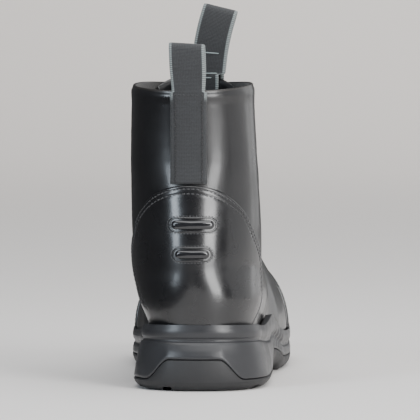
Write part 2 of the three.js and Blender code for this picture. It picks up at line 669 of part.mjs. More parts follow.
function makeMidsole() {
  const fromSplit = (row, turn, share) => {
    const first = sideRow(upperRows[0], turn).up;
    const { inset } = sideRow(row, turn);
    return solePoint(turn, lerp(splitShare(turn), first, share), inset);
  };
  const rows = [turns.map((turn) => solePoint(turn, splitShare(turn), 0, GAP / 2))];
  flareRows.forEach((row, i) => {
    rows.push(turns.map((turn) => fromSplit(row, turn, (i + 1) / (flareRows.length + 1))));
  });
  for (const row of upperRows) {
    rows.push(
      turns.map((turn) => {
        const { up, inset } = sideRow(row, turn);
        return solePoint(turn, up, inset);
      }),
    );
  }
  const wall = rows.length;
  rows.push(ringOf(1, GAP));
  rows.push(ringOf(0, GAP).map((p) => p.setZ(seat(p.y))));
  return loft(rows, { tip: true, crossed: (i, j) => j >= wall });
}

// A band of tape along stations, each with five points across its outer and its inner face.
const ACROSS = [-1, -0.5, 0, 0.5, 1];
const band = (stations) => loft(stations.map(({ outer, inner }) => [...outer, ...inner.reverse()]));

// A free station: its middle, the direction across it and its outward normal.
function freeStation(centre, across, out) {
  const face = (side) =>
    ACROSS.map((s) =>
      centre
        .clone()
        .addScaledVector(across, (s * TAPE_WIDTH) / 2)
        .addScaledVector(out, (side * TAPE_THICK) / 2),
    );
  return { outer: face(1), inner: face(-1) };
}

// A station that lies along the upper's face at a distance from it, round the back or the front.
function facedStation(near, level, x, distance, side) {
  const face = (out) =>
    ACROSS.map((s) => {
      const wanted = x + (s * TAPE_WIDTH) / 2;
      const [turn] = locate(near + Math.sign(near - 1) * 0.01, level, (p) => [p.x - wanted, 0], true);
      return upperOffset(turn, level, out);
    });
  const half = (side * TAPE_THICK) / 2;
  return { outer: face(distance + half), inner: face(distance - half) };
}

// The round top of a loop, from its outer ply over to its inner one.
function loopTop(low, across, out, rise, radius) {
  const arc = 6;
  const middle = low.clone().addScaledVector(out, -radius);
  return Array.from({ length: arc + 1 }, (_, i) => {
    const angle = (Math.PI * i) / arc;
    const way = out.clone().multiplyScalar(Math.cos(angle)).addScaledVector(rise, Math.sin(angle));
    return freeStation(middle.clone().addScaledVector(way, radius), across, way);
  });
}

// A pull loop: its outer ply follows the upper's levels, stands free above the rim, turns over and
// comes down as the inner ply. The distances are from the upper's face, side is the way it faces.
const NECK = 0.45; // height of the free part's waist, as a share of the rise
const NECK_SPREAD = 0.6; // and how far its inner ply has come out there
function makeTape({ near, x, lean, bow, rise, outerLevels, innerLevels, outerAway, innerAway, side }) {
  const across = new THREE.Vector3(Math.cos(lean), 0, -Math.sin(lean));
  const up = new THREE.Vector3(Math.sin(lean), 0, Math.cos(lean));
  const radius = (LOOP_GAP + TAPE_THICK) / 2;
  const rim = upperOffset(near, COLLAR, outerAway);
  const out = new THREE.Vector3(0, side, 0);
  const top = new THREE.Vector3(x, rim.y, rim.z).addScaledVector(up, rise - radius - TAPE_THICK / 2);
  const neck = new THREE.Vector3(x - bow, rim.y, rim.z).addScaledVector(up, NECK * rise);
  const far = upperOffset(near, COLLAR, innerAway).y;
  const farNeck = neck.clone().setY(lerp(far, top.y - side * 2 * radius, NECK_SPREAD));
  const inward = out.clone().multiplyScalar(-1);
  return band([
    ...outerLevels.map((level) => facedStation(near, level, x, outerAway, 1)),
    freeStation(neck, across, out),
    ...loopTop(top, across, out, up, radius),
    freeStation(farNeck, across, inward),
    ...innerLevels.map((level) => facedStation(near, level, x, innerAway, -1)),
  ]);
}

const TAPE_AWAY = GAP + TAPE_THICK / 2;
const REAR_LEAN = -0.04;
const REAR_SHIFT = 1; // rear tape outward of the collar's middle
const FRONT_LEAN = 0.17;
const FRONT_SHIFT = 5.2; // front loop outward of the tongue's middle
const FRONT_BOW = 0.3; // and by how much its lower half bends back

const makeRearTape = () =>
  makeTape({
    near: 0,
    x: upperPoint(0, COLLAR).x + REAR_SHIFT,
    lean: REAR_LEAN,
    bow: 0,
    rise: REAR_LOOP_RISE,
    outerLevels: [7.12, ...rowsBetween(7.4, COLLAR)],
    innerLevels: [COLLAR, 10.2, 9.5],
    outerAway: TAPE_AWAY,
    innerAway: -WALL - TAPE_AWAY,
    side: -1,
  });

const makeFrontTape = () =>
  makeTape({
    near: Math.PI,
    x: upperPoint(Math.PI, COLLAR).x + FRONT_SHIFT,
    lean: FRONT_LEAN,
    bow: FRONT_BOW,
    rise: FRONT_LOOP_RISE,
    outerLevels: [10.2, COLLAR, COLLAR + 0.6],
    innerLevels: [COLLAR + 0.6, COLLAR, 10.2],
    outerAway: -WALL - GAP + TAPE_AWAY,
    innerAway: -WALL - GAP - TONGUE_THICK - TAPE_AWAY,
    side: 1,
  });

// Eyelets and lace
const FIRST_EYELET = 0.13; // lowest pair, as a share of the throat's length
const LAST_EYELET = 0.93;
function eyeletSpot(pair, side) {
  const v = lerp(FIRST_EYELET, LAST_EYELET, pair / (EYELET_PAIRS - 1)) * THROAT_LENGTH;
  const measure = (p) => {
    const along = p.clone().sub(throatFrame.start).dot(throatFrame.up);
    const aside = side * (p.x - throatFrame.start.x);
    return [aside - throatHalf(v) - EYELET_INSET, along - v];
  };
  return locate(Math.PI - side * 0.5, lerp(8, 10.6, pair / (EYELET_PAIRS - 1)), measure);
}
const EYELET_SEAT = 1; // under an eyelet's flat foot, on the curved facing
const LACE_CLEAR = 1.2; // and over it, under the lace
const EYELET_AWAY = GAP + LEATHER + EYELET_SEAT;

function makeEyelet(pair, side) {
  const [turn, level] = eyeletSpot(pair, side);
  const foot = upperOffset(turn, level, EYELET_AWAY);
  const normal = upperOffset(turn, level, EYELET_AWAY + 1).sub(foot);
  const profile = [
    [EYELET_HOLE, 0],
    [EYELET_RADIUS, 0],
    [0.8 * EYELET_RADIUS, EYELET_THICK],
    [EYELET_HOLE, 0.8 * EYELET_THICK],
    [EYELET_HOLE, 0],
  ].map(([r, h]) => new THREE.Vector2(r, h));
  const axis = new THREE.Vector3(0, 1, 0);
  const ring = new THREE.LatheGeometry(profile, 8);
  ring.applyQuaternion(new THREE.Quaternion().setFromUnitVectors(axis, normal.normalize()));
  return ring.translate(foot.x, foot.y, foot.z);
}

function strand(from, to) {
  const steps = 5;
  const away = EYELET_AWAY + EYELET_THICK + LACE_CLEAR + LACE_THICK / 2;
  const spots = Array.from({ length: steps + 1 }, (_, i) => {
    const s = i / steps;
    const [turn, level] = [lerp(from[0], to[0], s), lerp(from[1], to[1], s)];
    const spot = upperOffset(turn, level, away);
    return { spot, out: upperOffset(turn, level, away + 1).sub(spot) };
  });
  const stations = spots.map(({ spot, out }, i) => {
    const [a, b] = [spots[Math.max(0, i - 1)].spot, spots[Math.min(steps, i + 1)].spot];
    const along = b.clone().sub(a).normalize();
    return { centre: spot, out, across: out.clone().cross(along).normalize() };
  });
  const loops = stations.map(({ centre, across, out }) =>
    [[-1, -1], [-1, 1], [1, 1], [1, -1]].map(([s, h]) =>
      centre
        .clone()
        .addScaledVector(across, (s * LACE_WIDTH) / 2)
        .addScaledVector(out, (h * LACE_THICK) / 2),
    ),
  );
  return loft(loops);
}

function makeLace() {
  const spots = (side) => Array.from({ length: EYELET_PAIRS }, (_, pair) => eyeletSpot(pair, side));
  const [outer, inner] = [spots(1), spots(-1)];
  const strands = [strand(outer[0], inner[0])];
  for (let pair = 1; pair < EYELET_PAIRS; pair += 1) {
    strands.push(strand(outer[pair - 1], inner[pair]));
    strands.push(strand(inner[pair - 1], outer[pair]));
  }
  return join(strands);
}

// Materials
const leather = (colour) => new THREE.MeshStandardMaterial({ color: colour, roughness: 0.28, metalness: 0 });
const rubber = new THREE.MeshStandardMaterial({ color: 0x1c1c1e, roughness: 0.62, metalness: 0 });
const treadRubber = new THREE.MeshStandardMaterial({ color: 0x161617, roughness: 0.8, metalness: 0 });
const webbing = new THREE.MeshStandardMaterial({ color: 0x1b1b1d, roughness: 0.9, metalness: 0 });
const gloss = new THREE.MeshStandardMaterial({ color: 0x0c0c0e, roughness: 0.18, metalness: 0 });
const lining = new THREE.MeshStandardMaterial({ color: 0x4a4540, roughness: 0.85, metalness: 0 });
const metal = new THREE.MeshStandardMaterial({ color: 0x2a2a2c, roughness: 0.35, metalness: 0.9 });

const boot = new THREE.Group();
boot.position.set(0, -lerp(HEEL_GROOVE_FROM, HEEL_GROOVE_TO, LAST_LUG) * LENGTH, 0);

function add(name, geometry, material) {
  const mesh = new THREE.Mesh(geometry, material);
  mesh.name = name;
  boot.add(mesh);
}

add('outsole', makeOutsole(), treadRubber);
add('midsole', makeMidsole(), rubber);
add('insole', makeInsole(), lining);
add('upper', makeUpper(), leather(0x111113));
add('tongue', makeTongue(), leather(0x131315));
add('heel_counter', makeCounter(), leather(0x101012));
add('toe_cap', makeToeCap(), leather(0x101012));
add('eyestay', makeEyestay(), leather(0x121214));
add('spur_rest_upper', makeRest(RESTS.upper), gloss);
add('spur_rest_lower', makeRest(RESTS.lower), gloss);
add('rear_pull_tape', makeRearTape(), webbing);
add('front_pull_tape', makeFrontTape(), webbing);
for (let pair = 0; pair < EYELET_PAIRS; pair += 1) {
  add(`eyelet_outer_${pair + 1}`, makeEyelet(pair, 1), metal);
  add(`eyelet_inner_${pair + 1}`, makeEyelet(pair, -1), metal);
}
add('lace', makeLace(), webbing);

export default boot;
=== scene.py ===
import math

import bmesh
import bpy
import numpy as np
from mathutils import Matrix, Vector


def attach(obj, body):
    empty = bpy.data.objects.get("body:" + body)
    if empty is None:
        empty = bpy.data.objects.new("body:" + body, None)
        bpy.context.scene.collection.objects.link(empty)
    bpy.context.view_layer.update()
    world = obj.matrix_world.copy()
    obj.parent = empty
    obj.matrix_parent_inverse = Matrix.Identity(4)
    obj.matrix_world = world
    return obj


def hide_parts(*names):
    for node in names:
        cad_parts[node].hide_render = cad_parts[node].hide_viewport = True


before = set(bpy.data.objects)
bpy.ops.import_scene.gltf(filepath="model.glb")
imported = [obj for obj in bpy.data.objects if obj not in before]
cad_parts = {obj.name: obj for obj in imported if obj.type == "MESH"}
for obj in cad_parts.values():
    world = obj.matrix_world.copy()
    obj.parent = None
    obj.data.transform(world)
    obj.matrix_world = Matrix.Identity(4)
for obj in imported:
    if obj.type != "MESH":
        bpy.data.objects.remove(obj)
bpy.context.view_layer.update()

# Looks of a black paddock boot, the right one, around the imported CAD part. As in the CAD source,
# shapes are in millimetres with y from the back of the sole, and the upper's face is a function of
# a turn round the foot (0 at the back, pi at the front) and a level (1 at the sole's edge, 11 at
# the collar). place() turns them into metres in the row frame.
LENGTH, BALL_WIDTH, WAIST_WIDTH, HEEL_WIDTH = 272, 94, 70, 75
HEEL_EDGE, FORE_EDGE, TOE_EDGE = 36.4, 22, 27
HEEL_SEAT, FORE_SEAT = 22.5, 12.5
TOE_SPRING, ARCH_RISE, INFLARE, HEEL_SHIFT = 13, 6, 4.6, 1.7
WALL, LEATHER, GAP = 2.2, 1.1, 0.3
TOE_INSET, HEEL_INSET, HEEL_HOLLOW, COLLAR_HOLLOW = 4.6, 5.6, 7.6, 0.66
UPPER_HEEL_WIDTH, SHAFT_WIDTH, COLLAR_DEPTH = 71.8, 68.4, 94.5
COLLAR_HEIGHT, COLLAR_RISE, INSTEP_HEIGHT, SHAFT_LEAN = 163.5, 4, 84, 2.4
HEEL_LEAN, THROAT_ASIDE, REAR_SHIFT = 2.3, 4, 1
COLLAR_CREST, CREST_FROM = 2, 8
SILL_DROP, SEAT_GAP = 0.6, 0.5
UPPER_INSET = 2.4  # side of the upper inside the sole's outline
WIDEST = 0.19  # widest place of heel and shaft, as a share of the length
TOE_ROUND, HEEL_ROUND = 0.225, 0.14  # lengths of the round ends, as shares of the length
BACK_POWER, TOE_POWER, SOLE_HEEL_POWER = 2.15, 2.15, 2.2
COUNTER_HEIGHT, COUNTER_REACH = 113, 52
CAP_LENGTH, CAP_BOW = 78, 14
THROAT_BOTTOM_WIDTH, THROAT_TOP_WIDTH, THROAT_LENGTH, FACING_WIDTH = 13, 31, 106, 14
EYELET_INSET, FIRST_EYELET, LAST_EYELET = 7, 0.13, 0.93
REST_RISE = 3
TONGUE_THICK, TONGUE_RISE, TONGUE_ROUND = 3, 4.8, 3.6
TAPE_WIDTH, TAPE_THICK, LOOP_GAP = 19.6, 1.3, 6.5
REAR_LOOP_RISE, FRONT_SHIFT = 27.3, 5.2
SIDE_DEPTH = 6
SPLIT_HEEL, SPLIT_FORE = 6.4, 7.7
PANEL_RISE, PANEL_WIDTH, PANEL_FOOT = 17.6, 28, 56
LUG_DEPTH, LUG_GROOVE = 3, 4.5
FORE_GROOVES, FORE_GROOVE_FROM, FORE_GROOVE_TO = 5, 0.56, 0.8
HEEL_GROOVES, HEEL_GROOVE_FROM, HEEL_GROOVE_TO = 3, 0.08, 0.23
ORIGIN_Y = 52.36
FRONT_LOOP_TOP = 211.5
COLLAR, TOP_LEVEL = 11, 12


def place(points):
    """Millimetres from the back of the sole, as metres in the row frame."""
    return (np.asarray(points, float) - [0, ORIGIN_Y, 0]) * 0.001


def lerp(a, b, s):
    return a + (b - a) * s


def smooth(value, start, end):
    s = np.clip((value - start) / (end - start), 0, 1)
    return s * s * (3 - 2 * s)


def hump(value, middle, width):
    """1 at the middle, 0 from about two widths away."""
    return np.exp(-(((value - middle) / width) ** 2))


def curve(keys, values):
    """A smooth curve through a table's column, level where the column turns."""
    k, v = np.array(keys, float), np.array(values, float)
    slope = np.diff(v) / np.diff(k)
    bend = np.empty_like(v)
    bend[0], bend[-1] = slope[0], slope[-1]
    bend[1:-1] = np.where(slope[1:] * slope[:-1] > 0, (slope[1:] + slope[:-1]) / 2, 0)

    def read(x):
        x = np.clip(x, k[0], k[-1])
        i = np.clip(np.searchsorted(k, x, side="right") - 1, 0, len(k) - 2)
        step = k[i + 1] - k[i]
        s = (x - k[i]) / step
        a, b, rise = bend[i] * step, bend[i + 1] * step, v[i + 1] - v[i]
        return v[i] + s * (a + s * (3 * rise - 2 * a - b + s * (a + b - 2 * rise)))

    return read


def along(shares, values):
    """A curve over the length of the foot, from a table of shares of it."""
    read = curve(shares, values)
    return lambda y: read(y / LENGTH)


# Plan and heights of the sole
PLAN_SHARES = [0, 0.18, 0.38, 0.52, 0.65, 0.78, 0.9, 1]
ball, heel = BALL_WIDTH / 2, HEEL_WIDTH / 2
plan_half = along(
    PLAN_SHARES, [heel, heel, WAIST_WIDTH / 2] + [share * ball for share in (0.9, 1, 0.985, 0.95, 0.9)]
)
plan_middle = along(
    PLAN_SHARES, [0, HEEL_SHIFT, 1.7 * HEEL_SHIFT] + list(np.array([-0.3, -1, -1.35, -1.9, -2.3]) * INFLARE)
)
EDGE_SHARES = [0, 0.11, 0.22, 0.29, 0.33, 0.4, 0.47, 0.53, 0.62, 0.76, 0.88, 1]
edge_top = along(
    EDGE_SHARES,
    [HEEL_EDGE, 0.962 * HEEL_EDGE, 0.896 * HEEL_EDGE, 0.95 * HEEL_EDGE, HEEL_EDGE, 0.9 * HEEL_EDGE]
    + [0.74 * HEEL_EDGE, 1.06 * FORE_EDGE, FORE_EDGE, FORE_EDGE, 1.07 * FORE_EDGE, TOE_EDGE],
)
seat = along(
    EDGE_SHARES,
    list(np.array([1, 1, 1, 0.98, 0.97, 0.93, 0.82]) * HEEL_SEAT)
    + list(np.array([1.18, 1, 1, 1.17, 1.7]) * FORE_SEAT),
)
tread_curve = along(
    EDGE_SHARES,
    [0, 0, 0, 0, 0.6 * ARCH_RISE, ARCH_RISE, 0.75 * ARCH_RISE, 0, 0, 0, 0.28 * TOE_SPRING, TOE_SPRING],
)


def tread(y):
    return np.maximum(0, tread_curve(y))


def sill(y):
    return edge_top(y) - SILL_DROP


def round_end(distance, length, power):
    rest = 1 - np.clip(distance / length, 0, 1)
    return (1 - rest**power) ** (1 / power)


HEEL_POINT = 0.3


def heel_point(share):
    """By how much the back is more pointed at the counter."""
    return HEEL_POINT * smooth(share, 0.3, 0.42) * (1 - smooth(share, 0.62, 0.78))


# The upper's face
LEVEL_IN = [0.4, 0.26, 0.07, 0, 0.05, 0.24, 0.56, 0.86, 1, 0.96, 0.83, COLLAR_HOLLOW, 0.6]
LEVEL_UP = [0.139, 0.222, 0.291, 0.372, 0.452, 0.539, 0.619, 0.706, 0.78, 0.855, 0.929, 1, 1.071]
LEVEL_REACH = [0.976, 1, 0.994, 0.968, 0.9, 0.774, 0.61, 0.427, 0.262, 0.122, 0.037, 0, -0.003]
LEVEL_LOW = [0.24, (TOE_EDGE - SILL_DROP) / INSTEP_HEIGHT, 0.43, 0.52, 0.598, 0.673, 0.762, 0.887] + [1] * 5
LEVEL_HIGH = [0] * 8 + [0.053, 0.316, 0.643, 1, 1.135]
in_at, up_at, reach_at, low_at, high_at = (
    curve(range(13), column) for column in (LEVEL_IN, LEVEL_UP, LEVEL_REACH, LEVEL_LOW, LEVEL_HIGH)
)
RIM_FRONT = COLLAR_HEIGHT + COLLAR_RISE
COLLAR_FRONT = HEEL_INSET + HEEL_HOLLOW * COLLAR_HOLLOW + COLLAR_DEPTH
UPPER_FRONT = LENGTH - TOE_INSET


def back_y(level):
    return HEEL_INSET + HEEL_HOLLOW * in_at(level)


def front_y(level):
    return lerp(COLLAR_FRONT, UPPER_FRONT, reach_at(level))


def front_z(level):
    return INSTEP_HEIGHT * low_at(level) + (RIM_FRONT - INSTEP_HEIGHT) * high_at(level)


collar_share = SHAFT_WIDTH / UPPER_HEEL_WIDTH
shaft_curve = curve(
    [0, 0.222, 0.29, 0.35, 0.45, 0.56, 0.78, 1, 1.1],
    [0.79, 0.835, 0.92, 0.952, 0.985, 1, lerp(collar_share, 1, 0.6), collar_share, collar_share],
)
ridge_levels = np.linspace(1, TOP_LEVEL, 400)
ridge_y, ridge_z = front_y(ridge_levels), front_z(ridge_levels)


def upper_half(y, z, end, back):
    widest = WIDEST * LENGTH
    shaft = shaft_curve(z / COLLAR_HEIGHT) * UPPER_HEEL_WIDTH / 2
    behind = shaft * round_end(y - back, widest - back, BACK_POWER - heel_point(z / COLLAR_HEIGHT))
    tip = np.maximum(np.interp(z, ridge_z, ridge_y), y)
    oval = shaft * np.sqrt(np.clip(1 - ((y - widest) / np.maximum(tip - widest, 1)) ** 2, 0, 1))
    low, top = sill(y), np.interp(y, ridge_y[::-1], ridge_z[::-1])
    rise = np.clip((z - low) / np.maximum(top - low, 0.01), 0, 1)
    foot = (plan_half(y) - UPPER_INSET) * round_end(end - y, TOE_ROUND * LENGTH, TOE_POWER)
    dome = foot * np.sqrt(1 - rise * rise)
    ahead = lerp(oval, dome, smooth(y, 0.35 * LENGTH, 0.52 * LENGTH))
    return np.where(y < widest, behind, ahead)


def upper_middle(y, z):
    sweep = -lerp(HEEL_LEAN, INFLARE, smooth(y, 0.25 * LENGTH, 0.7 * LENGTH))
    shared = lerp(plan_middle(y), sweep, smooth(z, sill(y), sill(y) + HEEL_EDGE))
    toe = lerp(shared, plan_middle(y), smooth(y, 0.6 * LENGTH, 0.8 * LENGTH))
    return toe - SHAFT_LEAN * smooth(z, 0.3 * COLLAR_HEIGHT, COLLAR_HEIGHT)


def upper_point(turn, level):
    turn, level = np.broadcast_arrays(np.asarray(turn, float), np.asarray(level, float))
    back, front = back_y(level), front_y(level)
    u = (1 - np.cos(turn)) / 2
    y = lerp(back, front, u)
    inside = lerp(seat(y) + SEAT_GAP, sill(y), level)
    straight = lerp(COLLAR_HEIGHT * up_at(level), front_z(level), u)
    lift = lerp(COLLAR_HEIGHT * up_at(level) - sill(back), front_z(level) - sill(front), u)
    above = lerp(sill(y) + lift, straight, smooth(level, 1, 5))
    crest = COLLAR_CREST * np.sin(turn) ** 2 * smooth(level, CREST_FROM, COLLAR)
    z = np.where(level <= 1, inside, above + crest)
    half = upper_half(y, z, np.maximum(front, np.where(level > 1, UPPER_FRONT, 0)), back)
    x = upper_middle(y, z) + np.sign(np.sin(turn)) * half
    return np.stack([x, y, z], -1)


def unit(v):
    return v / np.maximum(np.linalg.norm(v, axis=-1, keepdims=True), 1e-9)


def upper_normal(turn, level):
    turn, level = np.broadcast_arrays(np.asarray(turn, float), np.asarray(level, float))
    low = np.clip(level, 0.01, TOP_LEVEL - 0.01)
    across = upper_point(turn + 0.01, level) - upper_point(turn - 0.01, level)
    up = upper_point(turn, low + 0.01) - upper_point(turn, low - 0.01)
    normal = np.cross(across, up)
    flat = normal * [1, 1, 0]
    return unit(np.where((level <= 1)[..., None], flat, normal))


def upper_offset(turn, level, out):
    return upper_point(turn, level) + upper_normal(turn, level) * np.asarray(out, float)[..., None]


def locate(turn, level, measure):
    """Turns and levels where both values of measure(point) are zero, from a first guess."""
    turn, level = (np.array(v, float) for v in np.broadcast_arrays(turn, level))
    step = 0.01
    for _ in range(24):
        f, g = measure(upper_point(turn, level))
        fa, ga = measure(upper_point(turn + step, level))
        fb, gb = measure(upper_point(turn, level + step))
        m, n, p, q = ((d / step) for d in (fa - f, fb - f, ga - g, gb - g))
        det = m * q - n * p
        det = np.where(np.abs(det) < 1e-9, 1e-9, det)
        turn -= np.clip((f * q - g * n) / det, -0.2, 0.2)
        level -= np.clip((g * m - f * p) / det, -0.5, 0.5)
    return turn, level


def bisect(test, low, high):
    """Where test turns from negative at low to positive at high, for arrays."""
    low, high = np.array(low, float), np.array(high, float)
    for _ in range(40):
        middle = (low + high) / 2
        over = test(middle) > 0
        high, low = np.where(over, middle, high), np.where(over, low, middle)
    return (low + high) / 2


# Materials
def nodes_of(name, colour, roughness, **sockets):
    material = bpy.data.materials.new(name)
    material.use_nodes = True
    tree = material.node_tree
    shader = tree.nodes["Principled BSDF"]
    shader.inputs["Base Color"].default_value = (*colour, 1)
    shader.inputs["Roughness"].default_value = roughness
    for key, value in sockets.items():
        shader.inputs[key.replace("_", " ")].default_value = value
    return material, tree, shader


def add_node(tree, kind, **values):
    node = tree.nodes.new(kind)
    for key, value in values.items():
        if hasattr(node, key):
            setattr(node, key, value)
        else:
            node.inputs[key.replace("_", " ")].default_value = value
    return node


def noise(tree, scale, detail=3.0):
    coords = add_node(tree, "ShaderNodeTexCoord")
    node = add_node(tree, "ShaderNodeTexNoise", Scale=scale, Detail=detail)
    tree.links.new(coords.outputs["Object"], node.inputs["Vector"])
    return node.outputs["Fac"]


def between(tree, value, low, high, start=0.3, end=0.7):
    node = add_node(tree, "ShaderNodeMapRange")
    node.inputs["From Min"].default_value = start
    node.inputs["From Max"].default_value = end
    node.inputs["To Min"].default_value = low
    node.inputs["To Max"].default_value = high
    tree.links.new(value, node.inputs["Value"])
    return node.outputs["Result"]


def colour_sockets(sockets):
    return [socket for socket in sockets if socket.type == "RGBA"]


def mixed(tree, value, first, second):
    """A mix of two colours, each a tuple or the output of another node."""
    node = add_node(tree, "ShaderNodeMix", data_type="RGBA")
    for socket, colour in zip(colour_sockets(node.inputs), (first, second)):
        if isinstance(colour, tuple):
            socket.default_value = (*colour, 1)
        else:
            tree.links.new(colour, socket)
    tree.links.new(value, node.inputs["Factor"])
    return colour_sockets(node.outputs)[0]


def bump(tree, shader, height, strength, distance):
    node = add_node(tree, "ShaderNodeBump", Strength=strength, Distance=distance)
    tree.links.new(height, node.inputs["Height"])
    tree.links.new(node.outputs["Normal"], shader.inputs["Normal"])
    return node


def leather(name, colour=(0.006, 0.006, 0.007), roughness=0.32, grain=0.12, gloss=0.3):
    material, tree, shader = nodes_of(name, colour, roughness, Coat_Weight=gloss, Coat_Roughness=0.14)
    uneven = between(tree, noise(tree, 60), roughness - 0.05, roughness + 0.08)
    tree.links.new(uneven, shader.inputs["Roughness"])
    fine = bump(tree, shader, noise(tree, 1500, 2.0), grain, 0.0002)
    broad = add_node(tree, "ShaderNodeBump", Strength=0.25, Distance=0.0006)
    tree.links.new(noise(tree, 90, 2.0), broad.inputs["Height"])
    tree.links.new(broad.outputs["Normal"], fine.inputs["Normal"])
    return material


def rubber(name, colour, roughness, grain=0.15):
    material, tree, shader = nodes_of(name, colour, roughness)
    uneven = between(tree, noise(tree, 120), roughness - 0.06, roughness + 0.06)
    tree.links.new(uneven, shader.inputs["Roughness"])
    bump(tree, shader, noise(tree, 2200, 3.0), grain, 0.00015)
    return material


def webbing(name, colour, edge, sewn):
    """Ribs across the tape, a dotted selvedge paler past the sewn length, and painted shade as dark dots
    along the stitch lines of the sewn part. UVs are millimetres.
    """
    material, tree, shader = nodes_of(name, colour, 0.85, Sheen_Weight=0.12)
    coords = add_node(tree, "ShaderNodeTexCoord")
    split = add_node(tree, "ShaderNodeSeparateXYZ")
    tree.links.new(coords.outputs["UV"], split.inputs[0])

    def wave(source, period):
        scaled = add_node(tree, "ShaderNodeMath", operation="MULTIPLY")
        scaled.inputs[1].default_value = 2 * math.pi / period
        tree.links.new(split.outputs[source], scaled.inputs[0])
        sine = add_node(tree, "ShaderNodeMath", operation="SINE")
        tree.links.new(scaled.outputs[0], sine.inputs[0])
        return sine.outputs[0]

    def joined(operation, a, b):
        node = add_node(tree, "ShaderNodeMath", operation=operation)
        tree.links.new(a, node.inputs[0])
        if isinstance(b, float):
            node.inputs[1].default_value = b
        else:
            tree.links.new(b, node.inputs[1])
        return node.outputs[0]

    distance = joined("ABSOLUTE", split.outputs["X"], 0.0)
    at_edge = between(tree, distance, 0, 1, TAPE_WIDTH / 2 - 1.7, TAPE_WIDTH / 2 - 1.3)
    dots = between(tree, wave("Y", 1.1), 0.35, 1, -0.4, 0.5)
    free = between(tree, split.outputs["Y"], 0.04, 1, sewn - 1, sewn + 2)
    share = joined("MULTIPLY", joined("MULTIPLY", at_edge, dots), free)
    weave = joined("MULTIPLY", wave("Y", 0.75), wave("X", 0.9))
    dark, light = (tuple(factor * c for c in colour) for factor in (0.35, 1.6))
    speckle = mixed(tree, noise(tree, 1300), dark, light)
    # Painted shade: dark dots along each stitch line of the sewn length, mixed towards near black
    beside = joined("ABSOLUTE", joined("SUBTRACT", distance, NEEDLE_LINE), 0.0)
    stitch_shade = between(tree, beside, 0.75, 0, 0.25, 0.75)
    stitch_shade = joined("MULTIPLY", stitch_shade, between(tree, wave("Y", NEEDLE_PITCH), 0.35, 1, -0.2, 0.4))
    stitch_shade = joined("MULTIPLY", stitch_shade, between(tree, split.outputs["Y"], 1, 0, sewn - 1, sewn + 1))
    cloth_with_stitch_shade = mixed(tree, stitch_shade, speckle, (0.003, 0.003, 0.003))
    tree.links.new(mixed(tree, share, cloth_with_stitch_shade, edge), shader.inputs["Base Color"])
    ribs = joined("ADD", wave("Y", 0.75), joined("MULTIPLY", weave, 0.6))
    bump(tree, shader, between(tree, ribs, 0, 1, -1.5, 1.5), 0.7, 0.0004)
    return material


def fabric(name, colour, period=0.0011, roughness=0.9):
    material, tree, shader = nodes_of(name, colour, roughness, Sheen_Weight=0.25)
    dark = tuple(0.6 * c for c in colour)
    weave = mixed(tree, between(tree, noise(tree, 900), 0, 1), dark, colour)
    tree.links.new(weave, shader.inputs["Base Color"])
    bump(tree, shader, noise(tree, 1 / period, 2.0), 0.5, 0.0004)
    return material


BLACK_LEATHER = leather("black_leather", grain=0.22)
COUNTER_LEATHER = leather("counter_leather", (0.006, 0.006, 0.007), 0.27, 0.1, 0.45)
# Painted highlight: the collar's turned edge is a lighter, brownish grey than the rest of the leather
RIM_HIGHLIGHT_LEATHER = leather("turned_edge_painted_highlight", (0.016, 0.014, 0.013), 0.4, 0.2)
LINING = fabric("lining", (0.035, 0.033, 0.032))
SOLE_RUBBER = rubber("sole_rubber", (0.022, 0.0225, 0.025), 0.38)
TREAD_RUBBER = rubber("tread_rubber", (0.012, 0.012, 0.013), 0.6, 0.3)
NEEDLE_LINE = 7.0  # stitches of the tape and the painted shade along them, from its middle
NEEDLE_PITCH = 2.2
TAPE_COLOUR, SELVEDGE = (0.021, 0.022, 0.024), (0.22, 0.25, 0.25)
REAR_CLOTH = webbing("rear_tape_cloth", TAPE_COLOUR, SELVEDGE, 46)
FRONT_CLOTH = webbing("front_tape_cloth", TAPE_COLOUR, SELVEDGE, 0)
LACE_CLOTH = fabric("lace_cloth", (0.02, 0.02, 0.022), 0.0007)
THREAD = fabric("thread", (0.035, 0.035, 0.038), 0.0004, 0.6)
DARK_THREAD = fabric("dark_thread", (0.004, 0.004, 0.005), 0.0004, 0.8)
PALE_THREAD = fabric("pale_thread", (0.3, 0.36, 0.36), 0.0004, 0.7)
GLOSS, gloss_tree, gloss_shader = nodes_of("spur_rest", (0.01, 0.01, 0.012), 0.16, Coat_Weight=0.5)
bump(gloss_tree, gloss_shader, noise(gloss_tree, 300), 0.06, 0.0002)
METAL, metal_tree, metal_shader = nodes_of("eyelet_enamel", (0.02, 0.02, 0.022), 0.3, Metallic=0.6)
bump(metal_tree, metal_shader, noise(metal_tree, 700), 0.1, 0.0001)


# Meshes
def grid(rows, columns, closed=False):
    """Quads over a grid of points, row by row. closed joins the last column to the first."""
    i = np.arange(rows - 1)[:, None]
    j = np.arange(columns if closed else columns - 1)[None, :]
    a = i * columns + j
    b = i * columns + (j + 1) % columns
    return np.stack([a, b, b + columns, a + columns], -1).reshape(-1, 4).tolist()


